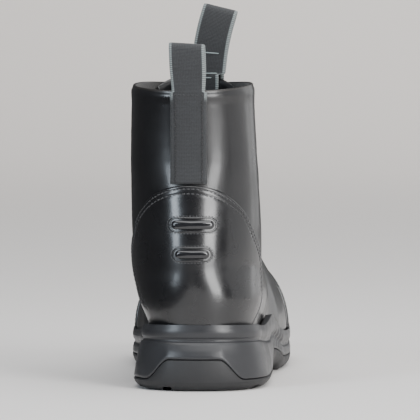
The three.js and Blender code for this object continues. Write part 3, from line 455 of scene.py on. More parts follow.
def piece(name, points, faces, materials, slots=None, uv=None, weld=None):
    """A smooth mesh piece that rides on the boot's one body."""
    mesh = bpy.data.meshes.new(name)
    mesh.from_pydata(place(np.reshape(points, (-1, 3))).tolist(), [], faces)
    for material in materials:
        mesh.materials.append(material)
    if slots is not None:
        mesh.polygons.foreach_set("material_index", np.asarray(slots, np.int32))
    if uv is not None:
        layer = mesh.uv_layers.new(name="UVMap")
        index = np.empty(len(mesh.loops), np.int32)
        mesh.loops.foreach_get("vertex_index", index)
        layer.data.foreach_set("uv", np.asarray(uv, np.float32).reshape(-1, 2)[index].ravel())
    shaped = bmesh.new()
    shaped.from_mesh(mesh)
    if weld:
        bmesh.ops.remove_doubles(shaped, verts=shaped.verts, dist=weld)
    bmesh.ops.recalc_face_normals(shaped, faces=shaped.faces)
    for face in shaped.faces:
        face.smooth = True
    shaped.to_mesh(mesh)
    shaped.free()
    thing = bpy.data.objects.new(name, mesh)
    bpy.context.scene.collection.objects.link(thing)
    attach(thing, "root")
    return thing


def circle(angle, across, up):
    return np.cos(angle)[:, None] * across + np.sin(angle)[:, None] * up


def tube(sections, caps=True):
    """Points and faces of a closed skin through rings of points."""
    rings, count = sections.shape[:2]
    faces = grid(rings, count, closed=True)
    if caps:
        faces.append(list(range(count))[::-1])
        faces.append(list(range((rings - 1) * count, rings * count)))
    return sections.reshape(-1, 3), faces


# Throat
throat_top = np.array([0, front_y(COLLAR), front_z(COLLAR)])
throat_low = np.array([0, 0.6 * LENGTH, np.interp(0.6 * LENGTH, ridge_y[::-1], ridge_z[::-1])])
throat_up = unit(throat_top - throat_low)
throat_start = throat_top - throat_up * THROAT_LENGTH
throat_start[0] = -THROAT_ASIDE
THROAT_OVER = 1.25 * THROAT_LENGTH


def throat_width(v):
    return lerp(THROAT_BOTTOM_WIDTH, THROAT_TOP_WIDTH, v / THROAT_LENGTH) / 2


ROUND = throat_width(0)


def throat_half(v, margin):
    """Half width of the throat at v along it, with its round bottom; below that it is negative."""
    straight = lerp(ROUND, throat_width(THROAT_OVER), (v - ROUND) / (THROAT_OVER - ROUND)) + margin
    radius = ROUND + margin
    inside = radius**2 - (v - ROUND) ** 2
    low = np.sqrt(np.maximum(inside, 0)) - np.where(inside < 0, np.sqrt(np.maximum(-inside, 0)), 0)
    return np.where(v > ROUND, straight, low)


def throat_place(p):
    """Distance aside from the throat's middle, and distance along it."""
    return p[..., 0] - throat_start[0], (p - throat_start) @ throat_up


def throat_edge(level, side, margin):
    """Turn of the throat's edge at each level, as a distance from the front."""
    def test(away):
        aside, v = throat_place(upper_point(math.pi - side * away, level))
        return side * aside - throat_half(v, margin)

    return np.where(test(0) < 0, bisect(test, 0, 1.3), 0)


def throat_spot(a, v, turn, level):
    """(turn, level) at a aside from the throat's middle and v along it, from a first guess."""
    def measure(p):
        aside, run = throat_place(p)
        return aside - a, run - v

    return locate(turn, level, measure)


# Creases and swells of the leather, in millimetres outward
FLEX = (  # place along the foot, bow, width and depth
    (168, 0.25, 2.6, -0.55),
    (176, 0.2, 3.4, 0.3),
    (185, 0.16, 2.8, -0.5),
    (195, 0.1, 4, 0.22),
)
ANKLE = (  # height, place along the foot, width and depth
    (92, 92, 3.2, -0.5),
    (100, 88, 4.5, 0.35),
    (110, 84, 3.4, -0.4),
)


def relief(point):
    x, y, z = point[..., 0], point[..., 1], point[..., 2]
    over = smooth(z, 30, 45)
    flex = sum(
        depth * hump(y - bow * np.abs(x) - middle, 0, width)
        for middle, bow, width, depth in FLEX
    )
    flex = flex * over * smooth(y, 150, 165)
    ankle = sum(
        depth * hump(z + 0.45 * (y - 100) - middle, 0, width) * hump(y, centre, 26)
        for middle, centre, width, depth in ANKLE
    )
    return flex + ankle * smooth(np.abs(x), 14, 26)


ROLLED = 0.7  # how far the top edge is turned in


# Upper: the outer face and the lining, joined at rim, throat and sole
def make_upper():
    levels = np.concatenate([[0.7, 0.85], np.linspace(1.0, COLLAR, 190)])
    columns = np.linspace(-1, 1, 241)
    edge_right = throat_edge(levels, 1, 0.8)
    edge_left = throat_edge(levels, -1, 0.8)
    edge = np.where(columns[None, :] >= 0, edge_right[:, None], edge_left[:, None])
    turn = columns[None, :] * (math.pi - edge)
    level = np.repeat(levels[:, None], len(columns), 1)
    outer = upper_point(turn, level)
    bead = 0.2 * hump(level, 10.78, 0.12) - 0.06 * hump(level, 10.45, 0.1)
    roll = bead - ROLLED * smooth(level, 10.82, COLLAR) ** 2
    outer = outer + upper_normal(turn, level) * (relief(outer) + roll)[..., None]
    inner = upper_offset(turn, level, -WALL)
    up = unit(upper_point(turn[-1], COLLAR) - upper_point(turn[-1], COLLAR - 0.05))
    rim = []
    for angle in np.linspace(0, math.pi, 9)[1:-1]:
        out = lerp(-WALL, -ROLLED, (1 + math.cos(angle)) / 2)
        rim.append(upper_offset(turn[-1], COLLAR, out) + up * WALL / 2 * math.sin(angle))
    rows = np.concatenate([outer, np.array(rim), inner[::-1]])
    count = len(columns)
    faces = grid(len(rows), count)
    slots = np.zeros(len(faces), int)
    per_row = count - 1
    first_rim, first_inner = len(outer) - 1, len(outer) + len(rim) - 1
    # The rim rows take the lighter leather of the painted highlight; the inner rows take the lining
    slots[first_rim * per_row : first_inner * per_row] = 1
    slots[first_inner * per_row :] = 2
    extra = []
    last = len(rows) - 1
    for column in (0, count - 1):
        for row in range(len(levels) - 1):
            if edge_right[row + 1] > 0:
                a, b = row * count + column, (row + 1) * count + column
                c, d = (last - row - 1) * count + column, (last - row) * count + column
                extra.append([a, b, c, d])
    bottom = [[i, i + 1, last * count + i + 1, last * count + i] for i in range(count - 1)]
    everything = faces + extra + bottom
    slots = list(slots) + [0] * len(extra) + [2] * len(bottom)
    thing = piece("upper_leather", rows, everything, [BLACK_LEATHER, RIM_HIGHLIGHT_LEATHER, LINING], slots, weld=2e-6)
    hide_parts("upper")


# Overlays: plates between a base curve and an edge curve on the upper
EDGE_STEPS = [0, 0.1, 0.3, 0.6, 1.0, 1.5, 2.0, 2.5, 3.0, 3.6, 4.2, 4.8, 5.4, 6.2, 7.2]
STITCH_ROWS = (2.0, 4.4)
LENS_ROWS = 70


def edge_height(distance, full):
    """Height of an overlay near its cut edge, with a shallow channel under each row of stitches."""
    channels = sum(hump(distance, row, 0.6) for row in STITCH_ROWS)
    return full * np.clip(distance, 0, 1) ** 0.35 - 0.22 * channels


def lens(name, base, edge, node, material, swell=None):
    """base and edge are arrays of (turn, level) with shared ends."""
    length = np.linalg.norm(upper_point(*edge.T) - upper_point(*base.T), axis=-1)
    steps = np.array(EDGE_STEPS)
    near = 1 - np.minimum(steps[::-1, None] / np.maximum(length, 1e-6)[None, :], 1)
    inside = np.linspace(0, 1, LENS_ROWS)[:-1, None] * near[0][None, :]
    share = np.concatenate([inside, near])
    q = base[None] + (edge - base)[None] * share[..., None]
    distance = (1 - share) * length[None, :]
    out = edge_height(distance, GAP + LEATHER)
    point = upper_point(q[..., 0], q[..., 1])
    if swell is not None:
        out = out + swell(point) * np.clip(distance / 4, 0, 1)
    outer = point + upper_normal(q[..., 0], q[..., 1]) * out[..., None]
    under = upper_offset(q[-1:, :, 0], q[-1:, :, 1], -0.3)
    rows = np.concatenate([outer, under])
    thing = piece(name, rows, grid(len(rows), len(base)), [material], weld=2e-6)
    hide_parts(node)


def path_at(base, edge, distance):
    """(turn, level) on a lens at a distance in from its edge."""
    length = np.linalg.norm(upper_point(*edge.T) - upper_point(*base.T), axis=-1)
    keep = length > distance * 1.5
    share = 1 - distance / length[keep]
    return base[keep] + (edge[keep] - base[keep]) * share[:, None]


def resample(path, count):
    """A path of (turn, level) at even steps over the face."""
    points = upper_point(*path.T)
    run = np.concatenate([[0], np.cumsum(np.linalg.norm(np.diff(points, axis=0), axis=-1))])
    keep = np.concatenate([[True], np.diff(run) > 1e-6])
    at = np.linspace(0, run[-1], count)
    return np.stack([curve(run[keep], path[keep, c])(at) for c in range(2)], -1)


stitches = {kind: {"points": [], "faces": [], "count": 0} for kind in ("black", "dark", "pale")}


STITCH = (  # place along the thread, height and thickness as shares of its radius
    (0, -0.9, 0.55),
    (0.12, -0.1, 0.9),
    (0.5, 0.25, 1),
    (0.88, -0.1, 0.9),
    (1, -0.9, 0.55),
)


def add_stitch(start, end, normal, radius, kind):
    """A short thread on the surface, from hole to hole, its ends going in."""
    ring = np.linspace(0, 2 * math.pi, 7)[:-1]
    forward = unit(end - start)
    side = unit(np.cross(normal, forward))
    rings = []
    for s, sink, size in STITCH:
        centre = lerp(start, end, s) + normal * sink * radius
        rings.append(centre + size * radius * circle(ring, side, normal))
    points, faces = tube(np.array(rings))
    kept = stitches[kind]
    kept["points"].append(points)
    kept["faces"] += [[i + kept["count"] for i in f] for f in faces]
    kept["count"] += len(points)


def sew(points, normals, pitch=2.6, radius=0.3, share=0.78, kind="black"):
    """Stitches along a line of points."""
    run = np.concatenate([[0], np.cumsum(np.linalg.norm(np.diff(points, axis=0), axis=-1))])
    count = max(1, int(round(run[-1] / pitch)))
    marks = np.linspace(0, run[-1], count + 1)
    gap = (1 - share) / 2 * run[-1] / count

    def read(values, at):
        return np.stack([np.interp(at, run, values[:, c]) for c in range(3)], -1)

    starts, ends = read(points, marks[:-1] + gap), read(points, marks[1:] - gap)
    facing = unit(read(normals, (marks[:-1] + marks[1:]) / 2))
    for a, b, n in zip(starts, ends, facing):
        add_stitch(a, b, n, radius, kind)


def sew_path(path, out, **how):
    sew(upper_offset(*path.T, out), upper_normal(*path.T), **how)


# Heel counter
COUNTER_EDGE = [  # shares of its reach and of its height
    (0.64, 0.31),
    (0.84, 0.4),
    (0.99, 0.53),
    (0.92, 0.65),
    (0.7, 0.76),
    (0.54, 0.865),
    (0.38, 0.945),
    (0.28, 0.982),
]


def counter_curves():
    reach, up = np.array(COUNTER_EDGE).T
    y, z = reach * COUNTER_REACH, up * COUNTER_HEIGHT
    level = np.interp(z, COLLAR_HEIGHT * np.array(LEVEL_UP), range(13))
    halves = []
    for side in (-1, 1):
        guess = side * np.arccos(np.clip(1 - 2 * (y - 6) / 190, -1, 1))
        halves.append(np.stack(locate(guess, level, lambda p: (p[..., 1] - y, p[..., 2] - z)), -1))
    low = 0.98
    corners = [[half[0, 0] - 0.01 * side, low] for side, half in zip((-1, 1), halves)]
    peak = np.interp(COUNTER_HEIGHT - 0.4, COLLAR_HEIGHT * np.array(LEVEL_UP), range(13))
    edge = np.concatenate([[corners[0]], halves[0], [[0, peak]], halves[1][::-1], [corners[1]]])
    edge = resample(edge, 241)
    base = np.stack([np.linspace(corners[0][0], corners[1][0], len(edge)), np.full(len(edge), low)], -1)
    base[0], base[-1] = edge[0], edge[-1]
    return base, edge


def counter_swell(p):
    """The stiffener under the leather: fuller below a soft line across the heel."""
    across_back = 1 - smooth(p[..., 1], 16, 42)
    return (0.26 * (1 - smooth(p[..., 2], 55, 67)) - 0.03 * hump(p[..., 2], 66, 3)) * across_back


# Spur rests
RESTS = {"upper": (91, 22.7, 5.3, 1.8), "lower": (75, 18.1, 5.0, 1.3)}


def on_heel(x, z):
    """(turn, level) on the back of the heel, at x aside from its middle line and height z."""
    level = np.interp(z, COLLAR_HEIGHT * np.array(LEVEL_UP), range(13))
    middle = upper_middle(np.full_like(z, 8.0), z)
    return locate(2 * x / UPPER_HEEL_WIDTH, level, lambda p: (p[..., 0] - middle - x, p[..., 2] - z))


def stadium(width, tall, grow, count=96):
    """Outline of a stadium, as x and z from its middle, at even steps."""
    radius, straight = tall / 2 + grow, (width - tall) / 2
    angle = np.linspace(0, 2 * math.pi, 721)[:-1]
    x, z = radius * np.cos(angle), radius * np.sin(angle)
    x = x + straight * np.sign(np.round(np.cos(angle), 6))
    points = np.stack([x, z], -1)
    points = np.concatenate([points, points[:1]])
    run = np.concatenate([[0], np.cumsum(np.linalg.norm(np.diff(points, axis=0), axis=-1))])
    at = np.linspace(0, run[-1], count + 1)[:-1]
    return np.interp(at, run, points[:, 0]), np.interp(at, run, points[:, 1])


def stadium_skin(height, width, tall, aside, profile, close=True):
    """Rings of a stadium over the heel, each (grow, out)."""
    rings = []
    for grow, out in profile:
        x, z = stadium(width, tall, grow)
        turn, level = on_heel(x + aside, height + z)
        rings.append(upper_offset(turn, level, out))
    points = np.array(rings)
    faces = grid(len(rings), points.shape[1], closed=True)
    if close:
        count = points.shape[1]
        faces.append([(len(rings) - 1) * count + i for i in range(count)])
    return points, faces


def make_rest(which):
    height, width, tall, aside = RESTS[which]
    reach = tall / 2 - 0.35
    profile = [(0, GAP)]
    for a in np.linspace(0, math.pi / 2, 9):
        profile.append((-reach * (1 - math.cos(a)), lerp(GAP, REST_RISE, math.sin(a) ** 0.8)))
    points, faces = stadium_skin(height, width, tall, aside, profile)
    thing = piece(f"rest_{which}", points, faces, [GLOSS])
    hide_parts(f"spur_rest_{which}")
    top = GAP + LEATHER
    lip = [(0.05, 0.9), (0.35, top - 0.1), (0.6, top + 0.3)]
    lip += [(0.95, top + 0.42), (1.35, top + 0.25), (1.75, top - 0.1)]
    points, faces = stadium_skin(height, width, tall, aside, lip, close=False)
    ring = piece(f"rest_{which}_welt", points, faces, [COUNTER_LEATHER])
    x, z = stadium(width, tall, 2.1, 200)
    turn, level = on_heel(x + aside, height + z)
    line = upper_offset(turn, level, top - 0.02)
    facing = upper_normal(turn, level)
    sew(np.concatenate([line, line[:1]]), np.concatenate([facing, facing[:1]]), pitch=1.8, radius=0.24)


# Toe cap
def cap_curves():
    seam = LENGTH - CAP_LENGTH

    def seam_y(x):
        return seam + CAP_BOW * (np.cos(math.pi * (x + INFLARE) / BALL_WIDTH) - 1)

    def past(turn, level):
        p = upper_point(turn, level)
        return p[..., 1] - seam_y(p[..., 0])

    top = float(bisect(lambda level: -past(np.full_like(level, math.pi), level), [3.0], [8.0])[0])
    share = np.sin(np.linspace(0, math.pi / 2, 70))
    levels = lerp(0.98, top, share)
    halves = []
    for side in (-1, 1):
        away = bisect(lambda a: -past(math.pi - side * a, levels), 0, 2.2)
        away[-1] = 0
        halves.append(np.stack([math.pi - side * away, levels], -1))
    edge = resample(np.concatenate([halves[0], halves[1][::-1][1:]]), 221)
    base = np.stack([np.linspace(edge[0, 0], edge[-1, 0], len(edge)), np.full(len(edge), 0.98)], -1)
    base[0], base[-1] = edge[0], edge[-1]
    return base, edge


# Eyestays and eyelets
def make_eyestay():
    profile = [(0, -WALL + 0.4), (0, 0.7), (0.12, 1.05), (0.4, 1.3)]
    profile += [(m, 1.4 - 0.22 * hump(m, 2.2, 0.6)) for m in np.arange(0.8, 4.6, 0.4)]
    profile += [(m, 1.4) for m in np.arange(5, FACING_WIDTH - 5, 0.7)]
    profile += [(FACING_WIDTH - d, edge_height(d, GAP + LEATHER)) for d in EDGE_STEPS[11::-1]]
    profile += [(FACING_WIDTH, -0.3)]
    rows = np.array([upper_offset(*throat_path(margin).T, out) for margin, out in profile])
    faces = grid(len(rows), rows.shape[1])
    thing = piece("eyestay_leather", rows, faces, [BLACK_LEATHER])
    solid = thing.modifiers.new("rim", "SOLIDIFY")
    solid.thickness, solid.offset = 0.0003, -1
    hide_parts("eyestay")
    for margin in (2.2, FACING_WIDTH - 2.0, FACING_WIDTH - 4.4):
        sew_path(throat_path(margin)[2:-2], 1.4 - 0.12)


def throat_path(margin):
    """(turn, level) along the throat's outline at a margin, from the rim round the bottom to the rim."""
    rim_turn = [float(throat_edge(np.array([float(COLLAR)]), side, margin)[0]) for side in (-1, 1)]
    ends = []
    for side, away in zip((-1, 1), rim_turn):
        ends.append(float(throat_place(upper_point(math.pi - side * away, float(COLLAR)))[1]))
    radius = ROUND + margin
    angle = np.linspace(-math.pi / 2, math.pi / 2, 61)
    round_a, round_v = radius * np.sin(angle), ROUND - radius * np.cos(angle)
    left_v, right_v = np.linspace(ends[0], ROUND, 90)[:-1], np.linspace(ROUND, ends[1], 90)[1:]
    a = np.concatenate([-throat_half(left_v, margin), round_a, throat_half(right_v, margin)])
    v = np.concatenate([left_v, round_v, right_v])
    guess_level = np.interp(v, [-25, 0, 40, 80, THROAT_LENGTH], [5.6, 6.4, 8.0, 9.6, 11])
    guess_turn = math.pi - np.sign(a) * np.clip(np.abs(a) / 42, 0.02, 1.0)
    return np.stack(throat_spot(a, v, guess_turn, guess_level), -1)


EYELET_PAIRS = 6
EYELET_PROFILE = (  # radius and height
    (3.85, -0.25),
    (3.8, 0.35),
    (3.6, 0.62),
    (3.2, 0.78),
    (2.7, 0.74),
    (2.3, 0.5),
    (2.05, 0.05),
    (2.0, -1.6),
)


def eyelet_spot(pair, side):
    share = pair / (EYELET_PAIRS - 1)
    v = lerp(FIRST_EYELET, LAST_EYELET, share) * THROAT_LENGTH
    a = side * (throat_width(v) + EYELET_INSET)
    turn, level = throat_spot(a, v, [math.pi - side * 0.5], [lerp(8, 10.6, share)])
    return float(turn[0]), float(level[0])


def make_eyelet(pair, side):
    turn, level = eyelet_spot(pair, side)
    foot = upper_offset(turn, level, GAP + LEATHER)
    normal = upper_normal(turn, level)
    across = unit(np.cross(normal, [0, 0, 1.0]))
    other = np.cross(normal, across)
    angle = np.linspace(0, 2 * math.pi, 41)[:-1]
    rings = []
    for radius, height in EYELET_PROFILE:
        rings.append(foot + normal * height + radius * circle(angle, across, other))
    points = np.array(rings)
    faces = grid(len(rings), len(angle), closed=True)
    word = "outer" if side > 0 else "inner"
    thing = piece(f"eyelet_{word}_{pair + 1}_ring", points, faces, [METAL])
    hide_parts(f"eyelet_{word}_{pair + 1}")


# Lace
def strand(start, end, lift):
    """One crossing of the lace, from hole to hole over the throat."""
    s = np.concatenate([np.zeros(5), np.linspace(0, 1, 61), np.ones(5)])
    depth = np.concatenate([np.linspace(1, 0.15, 5), np.zeros(61), np.linspace(0.15, 1, 5)])
    turn, level = lerp(start[0], end[0], s), lerp(start[1], end[1], s)
    base = upper_point(turn, level)
    normal = upper_normal(turn, level)
    span = np.linalg.norm(upper_point(*end) - upper_point(*start))
    from_hole = np.minimum(s, 1 - s) * span
    over = 2.9 - 1.15 * smooth(from_hole, 5, 12) + lift * hump(s, 0.5, 0.16)
    rise = np.clip(from_hole / 1.6, 0, 1)
    out = lerp(1.2, over, np.sin(rise * math.pi / 2)) - 2.6 * depth
    centre = base + normal * out[:, None]
    forward = unit(upper_point(*end) - upper_point(*start))
    side = unit(np.cross(normal, forward))
    run = unit(np.gradient(centre, axis=0))
    thick = unit(np.cross(run, side))
    half_width = lerp(1.45, 2.35, smooth(from_hole, 0.5, 4.0))
    half_thick = lerp(0.95, 0.62, smooth(from_hole, 0.5, 4.0))
    angle = np.linspace(0, 2 * math.pi, 17)[:-1]
    c, t = np.cos(angle), np.sin(angle)
    wide = np.sign(c) * np.abs(c) ** 0.7
    tall = np.sign(t) * np.abs(t) ** 0.8
    aside = (half_width[:, None] * wide)[..., None] * side[:, None]
    above = (half_thick[:, None] * tall)[..., None] * thick[:, None]
    return centre[:, None] + aside + above


def make_lace():
    points, faces, count = [], [], 0
    outer = [eyelet_spot(pair, 1) for pair in range(EYELET_PAIRS)]
    inner = [eyelet_spot(pair, -1) for pair in range(EYELET_PAIRS)]
    runs = [(outer[0], inner[0], 0.0)]
    for pair in range(1, EYELET_PAIRS):
        runs.append((outer[pair - 1], inner[pair], -0.7))
        runs.append((inner[pair - 1], outer[pair], 0.75))
    for start, end, lift in runs:
        p, f = tube(strand(start, end, lift))
        points.append(p)
        faces += [[i + count for i in face] for face in f]
        count += len(p)
    thing = piece("lace_cord", np.concatenate(points), faces, [LACE_CLOTH])
    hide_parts("lace")


# Tongue
def make_tongue():
    columns = np.linspace(-1, 1, 81)
    rows = np.concatenate([np.linspace(6.6, 10.7, 58), np.linspace(10.75, 11.46, 32)])
    top = COLLAR + TONGUE_RISE / (front_z(TOP_LEVEL) - front_z(COLLAR))
    limit = top - TONGUE_ROUND * (0.27 * np.abs(columns)) ** 1.5
    level = np.minimum(rows[:, None], limit[None, :])
    turn = 1.02 * math.pi - columns[None, :] * 0.28 * math.pi
    edge = np.clip((1 - np.abs(columns)) / 0.12, 0, 1)[None, :] ** 0.5
    above = smooth(rows, 10.6, 11.4)[:, None]
    tip = np.clip((limit[None, :] - level) / 0.12, 0, 1) ** 0.5
    thick = TONGUE_THICK + 1.2 * above * (1 - columns[None, :] ** 2)
    middle = -WALL - 0.25 - 1.5
    outer = upper_offset(turn, level, middle + thick / 2 * edge * tip)
    inner = upper_offset(turn, level, middle - thick / 2 * edge * tip)
    rows_all = np.concatenate([outer, inner[::-1]])
    faces = grid(len(rows_all), len(columns))
    last, count = len(rows_all) - 1, len(columns)
    faces += [[i, i + 1, last * count + i + 1, last * count + i] for i in range(count - 1)]
    thing = piece("tongue_leather", rows_all, faces, [BLACK_LEATHER], weld=2e-6)
    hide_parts("tongue")


# Pull tapes
def spline(points, count):
    """A smooth path through a few points."""
    p = np.array(points, float)
    run = np.concatenate([[0], np.cumsum(np.linalg.norm(np.diff(p, axis=0), axis=-1))])
    at = np.linspace(0, run[-1], count)
    slopes = np.gradient(p, run, axis=0)
    i = np.clip(np.searchsorted(run, at, side="right") - 1, 0, len(run) - 2)
    step = (run[i + 1] - run[i])[:, None]
    s = ((at - run[i]) / step[:, 0])[:, None]
    a, b, rise = slopes[i] * step, slopes[i + 1] * step, p[i + 1] - p[i]
    return p[i] + s * (a + s * (3 * rise - 2 * a - b + s * (a + b - 2 * rise)))


ACROSS = np.linspace(-1, 1, 15)
REAR_ROWS = 47
BAR_HEIGHTS = (185.6, 173.1, 171)


def faced_row(near, level, x, distance):
    """Points across the tape on the upper's face, and the way they face."""
    wanted = x + ACROSS * TAPE_WIDTH / 2
    start = near + 0.02 * np.sign(near - 1) if near else np.sign(ACROSS + 1e-3) * 0.05
    turn = np.zeros(len(ACROSS)) + start
    for _ in range(40):
        here = upper_point(turn, level)[:, 0]
        slope = (upper_point(turn + 0.005, level)[:, 0] - here) / 0.005
        turn = turn - np.clip((here - wanted) / np.where(np.abs(slope) < 1e-3, 1e-3, slope), -0.2, 0.2)
    return upper_offset(turn, level, distance), upper_normal(turn, level)


def make_tape(
    name, node, cloth, near, x, lean, outer_levels, inner_levels,
    outer_away, inner_away, rise, side, pinch, roll, bow,
):
    """A loop of tape: up the outer levels, free over the rim, and down the inner levels."""
    up = np.array([math.sin(lean), 0, math.cos(lean)])
    out = np.array([0, float(side), 0])
    radius = (LOOP_GAP + TAPE_THICK) / 2
    rows, facing = [], []
    for level in outer_levels:
        row, normal = faced_row(near, level, x, outer_away)
        rows.append(row)
        facing.append(normal)
    last, far_row = rows[-1], faced_row(near, inner_levels[0], x, inner_away)[0]
    middle = len(ACROSS) // 2
    rim, far = last[middle], far_row[middle]
    centre = np.array([x, rim[1], rim[2]])
    reach = (far - rim) @ -out
    top = rise - radius - TAPE_THICK / 2
    plan = [(0, 0), (0.0, 0.3 * rise), (0.35, 0.6 * rise), (0, top)]
    for a in np.linspace(0, math.pi, 9)[1:]:
        plan.append((-radius + radius * math.cos(a), top + radius * math.sin(a)))
    plan += [(-2 * radius + 0.1, 0.55 * rise), (lerp(-reach, -2 * radius, 0.45), 0.28 * rise), (-reach, 0)]
    path = spline(plan, 90)[1:-1]
    step = np.gradient(path, axis=0)
    height = path[:, 1]
    sag_first, sag_last = last - centre, far_row - far
    crossed = path[:, 1].argmax()
    for i, ((o, u), (do, du)) in enumerate(zip(path, step)):
        fade = math.exp(-height[i] / 7)
        narrow = 1 - pinch * math.exp(-((height[i] / 9) ** 2))
        base = centre + out * o + up * u
        normal = unit(out * du - up * do)
        base = base - np.array([bow * math.sin(math.pi * min(1, u / rise)), 0, 0])
        turned = roll * smooth(u, 0, 0.9 * rise)
        across = np.array([math.cos(turned), 0, -math.sin(turned)])
        row = base + ACROSS[:, None] * narrow * TAPE_WIDTH / 2 * across
        sag = sag_first if i < crossed else sag_last
        row = row + (sag @ out)[:, None] * out * fade
        rows.append(row)
        facing.append(np.repeat(normal[None], len(ACROSS), 0))
    for level in inner_levels:
        row, normal = faced_row(near, level, x, inner_away)
        rows.append(row)
        facing.append(-normal)
    rows, facing = np.array(rows), np.array(facing)
    run = np.concatenate([[0], np.cumsum(np.linalg.norm(np.diff(rows[:, middle], axis=0), axis=-1))])
    edge = np.where(np.abs(ACROSS) > 0.99, 0.55, 1.0)[None, :, None]
    front = rows + facing * TAPE_THICK / 2 * edge
    back = rows - facing * TAPE_THICK / 2 * edge
    skin = np.concatenate([front, back[:, ::-1]], axis=1)
    u = np.concatenate([ACROSS, ACROSS[::-1]]) * TAPE_WIDTH / 2
    uv = np.stack([np.repeat(u[None], len(rows), 0), np.repeat(run[:, None], len(u), 1)], -1)
    points, faces = tube(skin)
    thing = piece(name, points, faces, [cloth], uv=uv)
    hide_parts(node)
    return rows, facing


def make_rear_tape():
    x = float(upper_point(0.0, float(COLLAR))[0]) + REAR_SHIFT
    away = GAP + TAPE_THICK / 2
    rows, facing = make_tape(
        "rear_tape", "rear_pull_tape", REAR_CLOTH, 0.0, x, -0.04,
        np.linspace(6.87, COLLAR, REAR_ROWS), [COLLAR, 10.6, 10.2, 9.8, 9.5],
        away, -WALL - away, REAR_LOOP_RISE, -1, 0.08, 0.06, 0.0,
    )
    face = rows + facing * TAPE_THICK / 2
    for column in (2, -3):
        line, normals = face[1:REAR_ROWS, column], facing[1:REAR_ROWS, column]
        sew(line, normals, pitch=NEEDLE_PITCH, radius=0.3, share=0.7, kind="dark")
    row = REAR_ROWS - 2
    sew(face[row, 3:12], facing[row, 3:12], pitch=NEEDLE_PITCH, radius=0.26, kind="dark")


def make_front_tape():
    x = float(upper_point(math.pi, float(COLLAR))[0]) + FRONT_SHIFT
    away = GAP + TAPE_THICK / 2
    lean, leaves = 0.19, 11.35
    rise = (FRONT_LOOP_TOP - float(front_z(leaves))) / math.cos(lean)
    rows, facing = make_tape(
        "front_tape", "front_pull_tape", FRONT_CLOTH, math.pi, x, lean,
        np.linspace(10.2, leaves, 16), list(np.linspace(leaves, 10.2, 12)),
        -WALL - GAP + away, -WALL - GAP - TONGUE_THICK - away, rise, 1, 0.0, 0.24, 1.4,
    )
    turned = rows[:, 7, 2].argmax()
    for height in BAR_HEIGHTS:
        row = turned + np.abs(rows[turned:, 7, 2] - height).argmin()
        face = rows[row, 3:12] + facing[row, 3:12] * TAPE_THICK / 2
        sew(face, facing[row, 3:12], pitch=12, radius=0.3, share=1, kind="pale")


# Sole
SIDE = np.array([  # height and inset at the heel, then at the ball
    (0.0, 1.03, 0.0, 0.75),
    (0.03, 0.5, 0.05, 0.4),
    (0.08, 0.15, 0.15, 0.14),
    (0.14, 0.0, 0.25, 0.03),
    (0.36, 0.05, 0.42, 0.0),
    (0.505, 0.22, 0.5, 0.04),
    (0.73, 0.6, 0.58, 0.1),
    (0.75, 0.88, 0.61, 0.22),
    (0.79, 0.88, 0.68, 0.22),
    (0.815, 0.76, 0.72, 0.06),
    (0.9, 0.7, 0.84, 0.0),
    (1.0, 0.88, 1.0, 0.1),
])


def rounded(rows, rounds=3, share=0.2):
    """A profile with its corners cut off again and again."""
    for _ in range(rounds):
        cut_rows = [rows[0]]
        for a, b in zip(rows[:-1], rows[1:]):
            cut_rows += [lerp(a, b, share), lerp(a, b, 1 - share)]
        rows = np.array(cut_rows + [rows[-1]])
    return rows


def sole_turns(count):
    return np.linspace(0, 2 * math.pi, count + 1)[:-1]


def sole_plan(turn):
    y = LENGTH * (1 - np.cos(turn)) / 2
    heel_end = round_end(y, HEEL_ROUND * LENGTH, SOLE_HEEL_POWER)
    ends = heel_end * round_end(LENGTH - y, TOE_ROUND * LENGTH, TOE_POWER)
    return np.stack([plan_middle(y) + np.sign(np.sin(turn)) * plan_half(y) * ends, y], -1)


def sole_point(turn, share, inset, lift=0.0):
    way = unit(sole_plan(turn + 0.01) - sole_plan(turn - 0.01))
    spot = sole_plan(turn)
    y = spot[..., 1]
    z = lerp(tread(y), edge_top(y), share) + lift
    return np.stack([spot[..., 0] - way[..., 1] * inset, y + way[..., 0] * inset, z], -1)


def fore_share(y):
    return smooth(y, 0.15 * LENGTH, 0.37 * LENGTH)


def split_share(turn):
    spot = sole_plan(turn)
    x, y = spot[..., 0], spot[..., 1]
    height = edge_top(y) - tread(y)
    plain = lerp(SPLIT_HEEL / HEEL_EDGE, SPLIT_FORE / FORE_EDGE, fore_share(y))
    panel = np.where(y < HEEL_ROUND * LENGTH, 1 - smooth(np.abs(x), PANEL_WIDTH / 2, PANEL_FOOT / 2), 0)
    return lerp(plain, PANEL_RISE / height, panel)


def side_at(row, turn):
    fore = fore_share(sole_plan(turn)[..., 1])
    return lerp(row[0], row[2], fore), SIDE_DEPTH * lerp(row[1], row[3], fore)


def side_relief(turn, share):
    """Slanting ribs on the side of the arch and the forefoot, as extra inset."""
    y = sole_plan(turn)[..., 1]
    z = lerp(tread(y), edge_top(y), share)
    slant = y - 0.9 * z
    ribs = 0.5 + 0.5 * np.cos(2 * math.pi * slant / 9)
    where = smooth(y, 84, 96) * (1 - smooth(y, 132, 142)) * smooth(z, 11, 13.5) * (1 - smooth(z, 24, 27))
    fine = (0.5 + 0.5 * np.cos(2 * math.pi * y / 4)) * hump(share, 0.34, 0.035)
    fine = fine * smooth(y, 110, 130) * (1 - smooth(y, 235, 250))
    return 0.9 * ribs**2 * where + 0.35 * fine


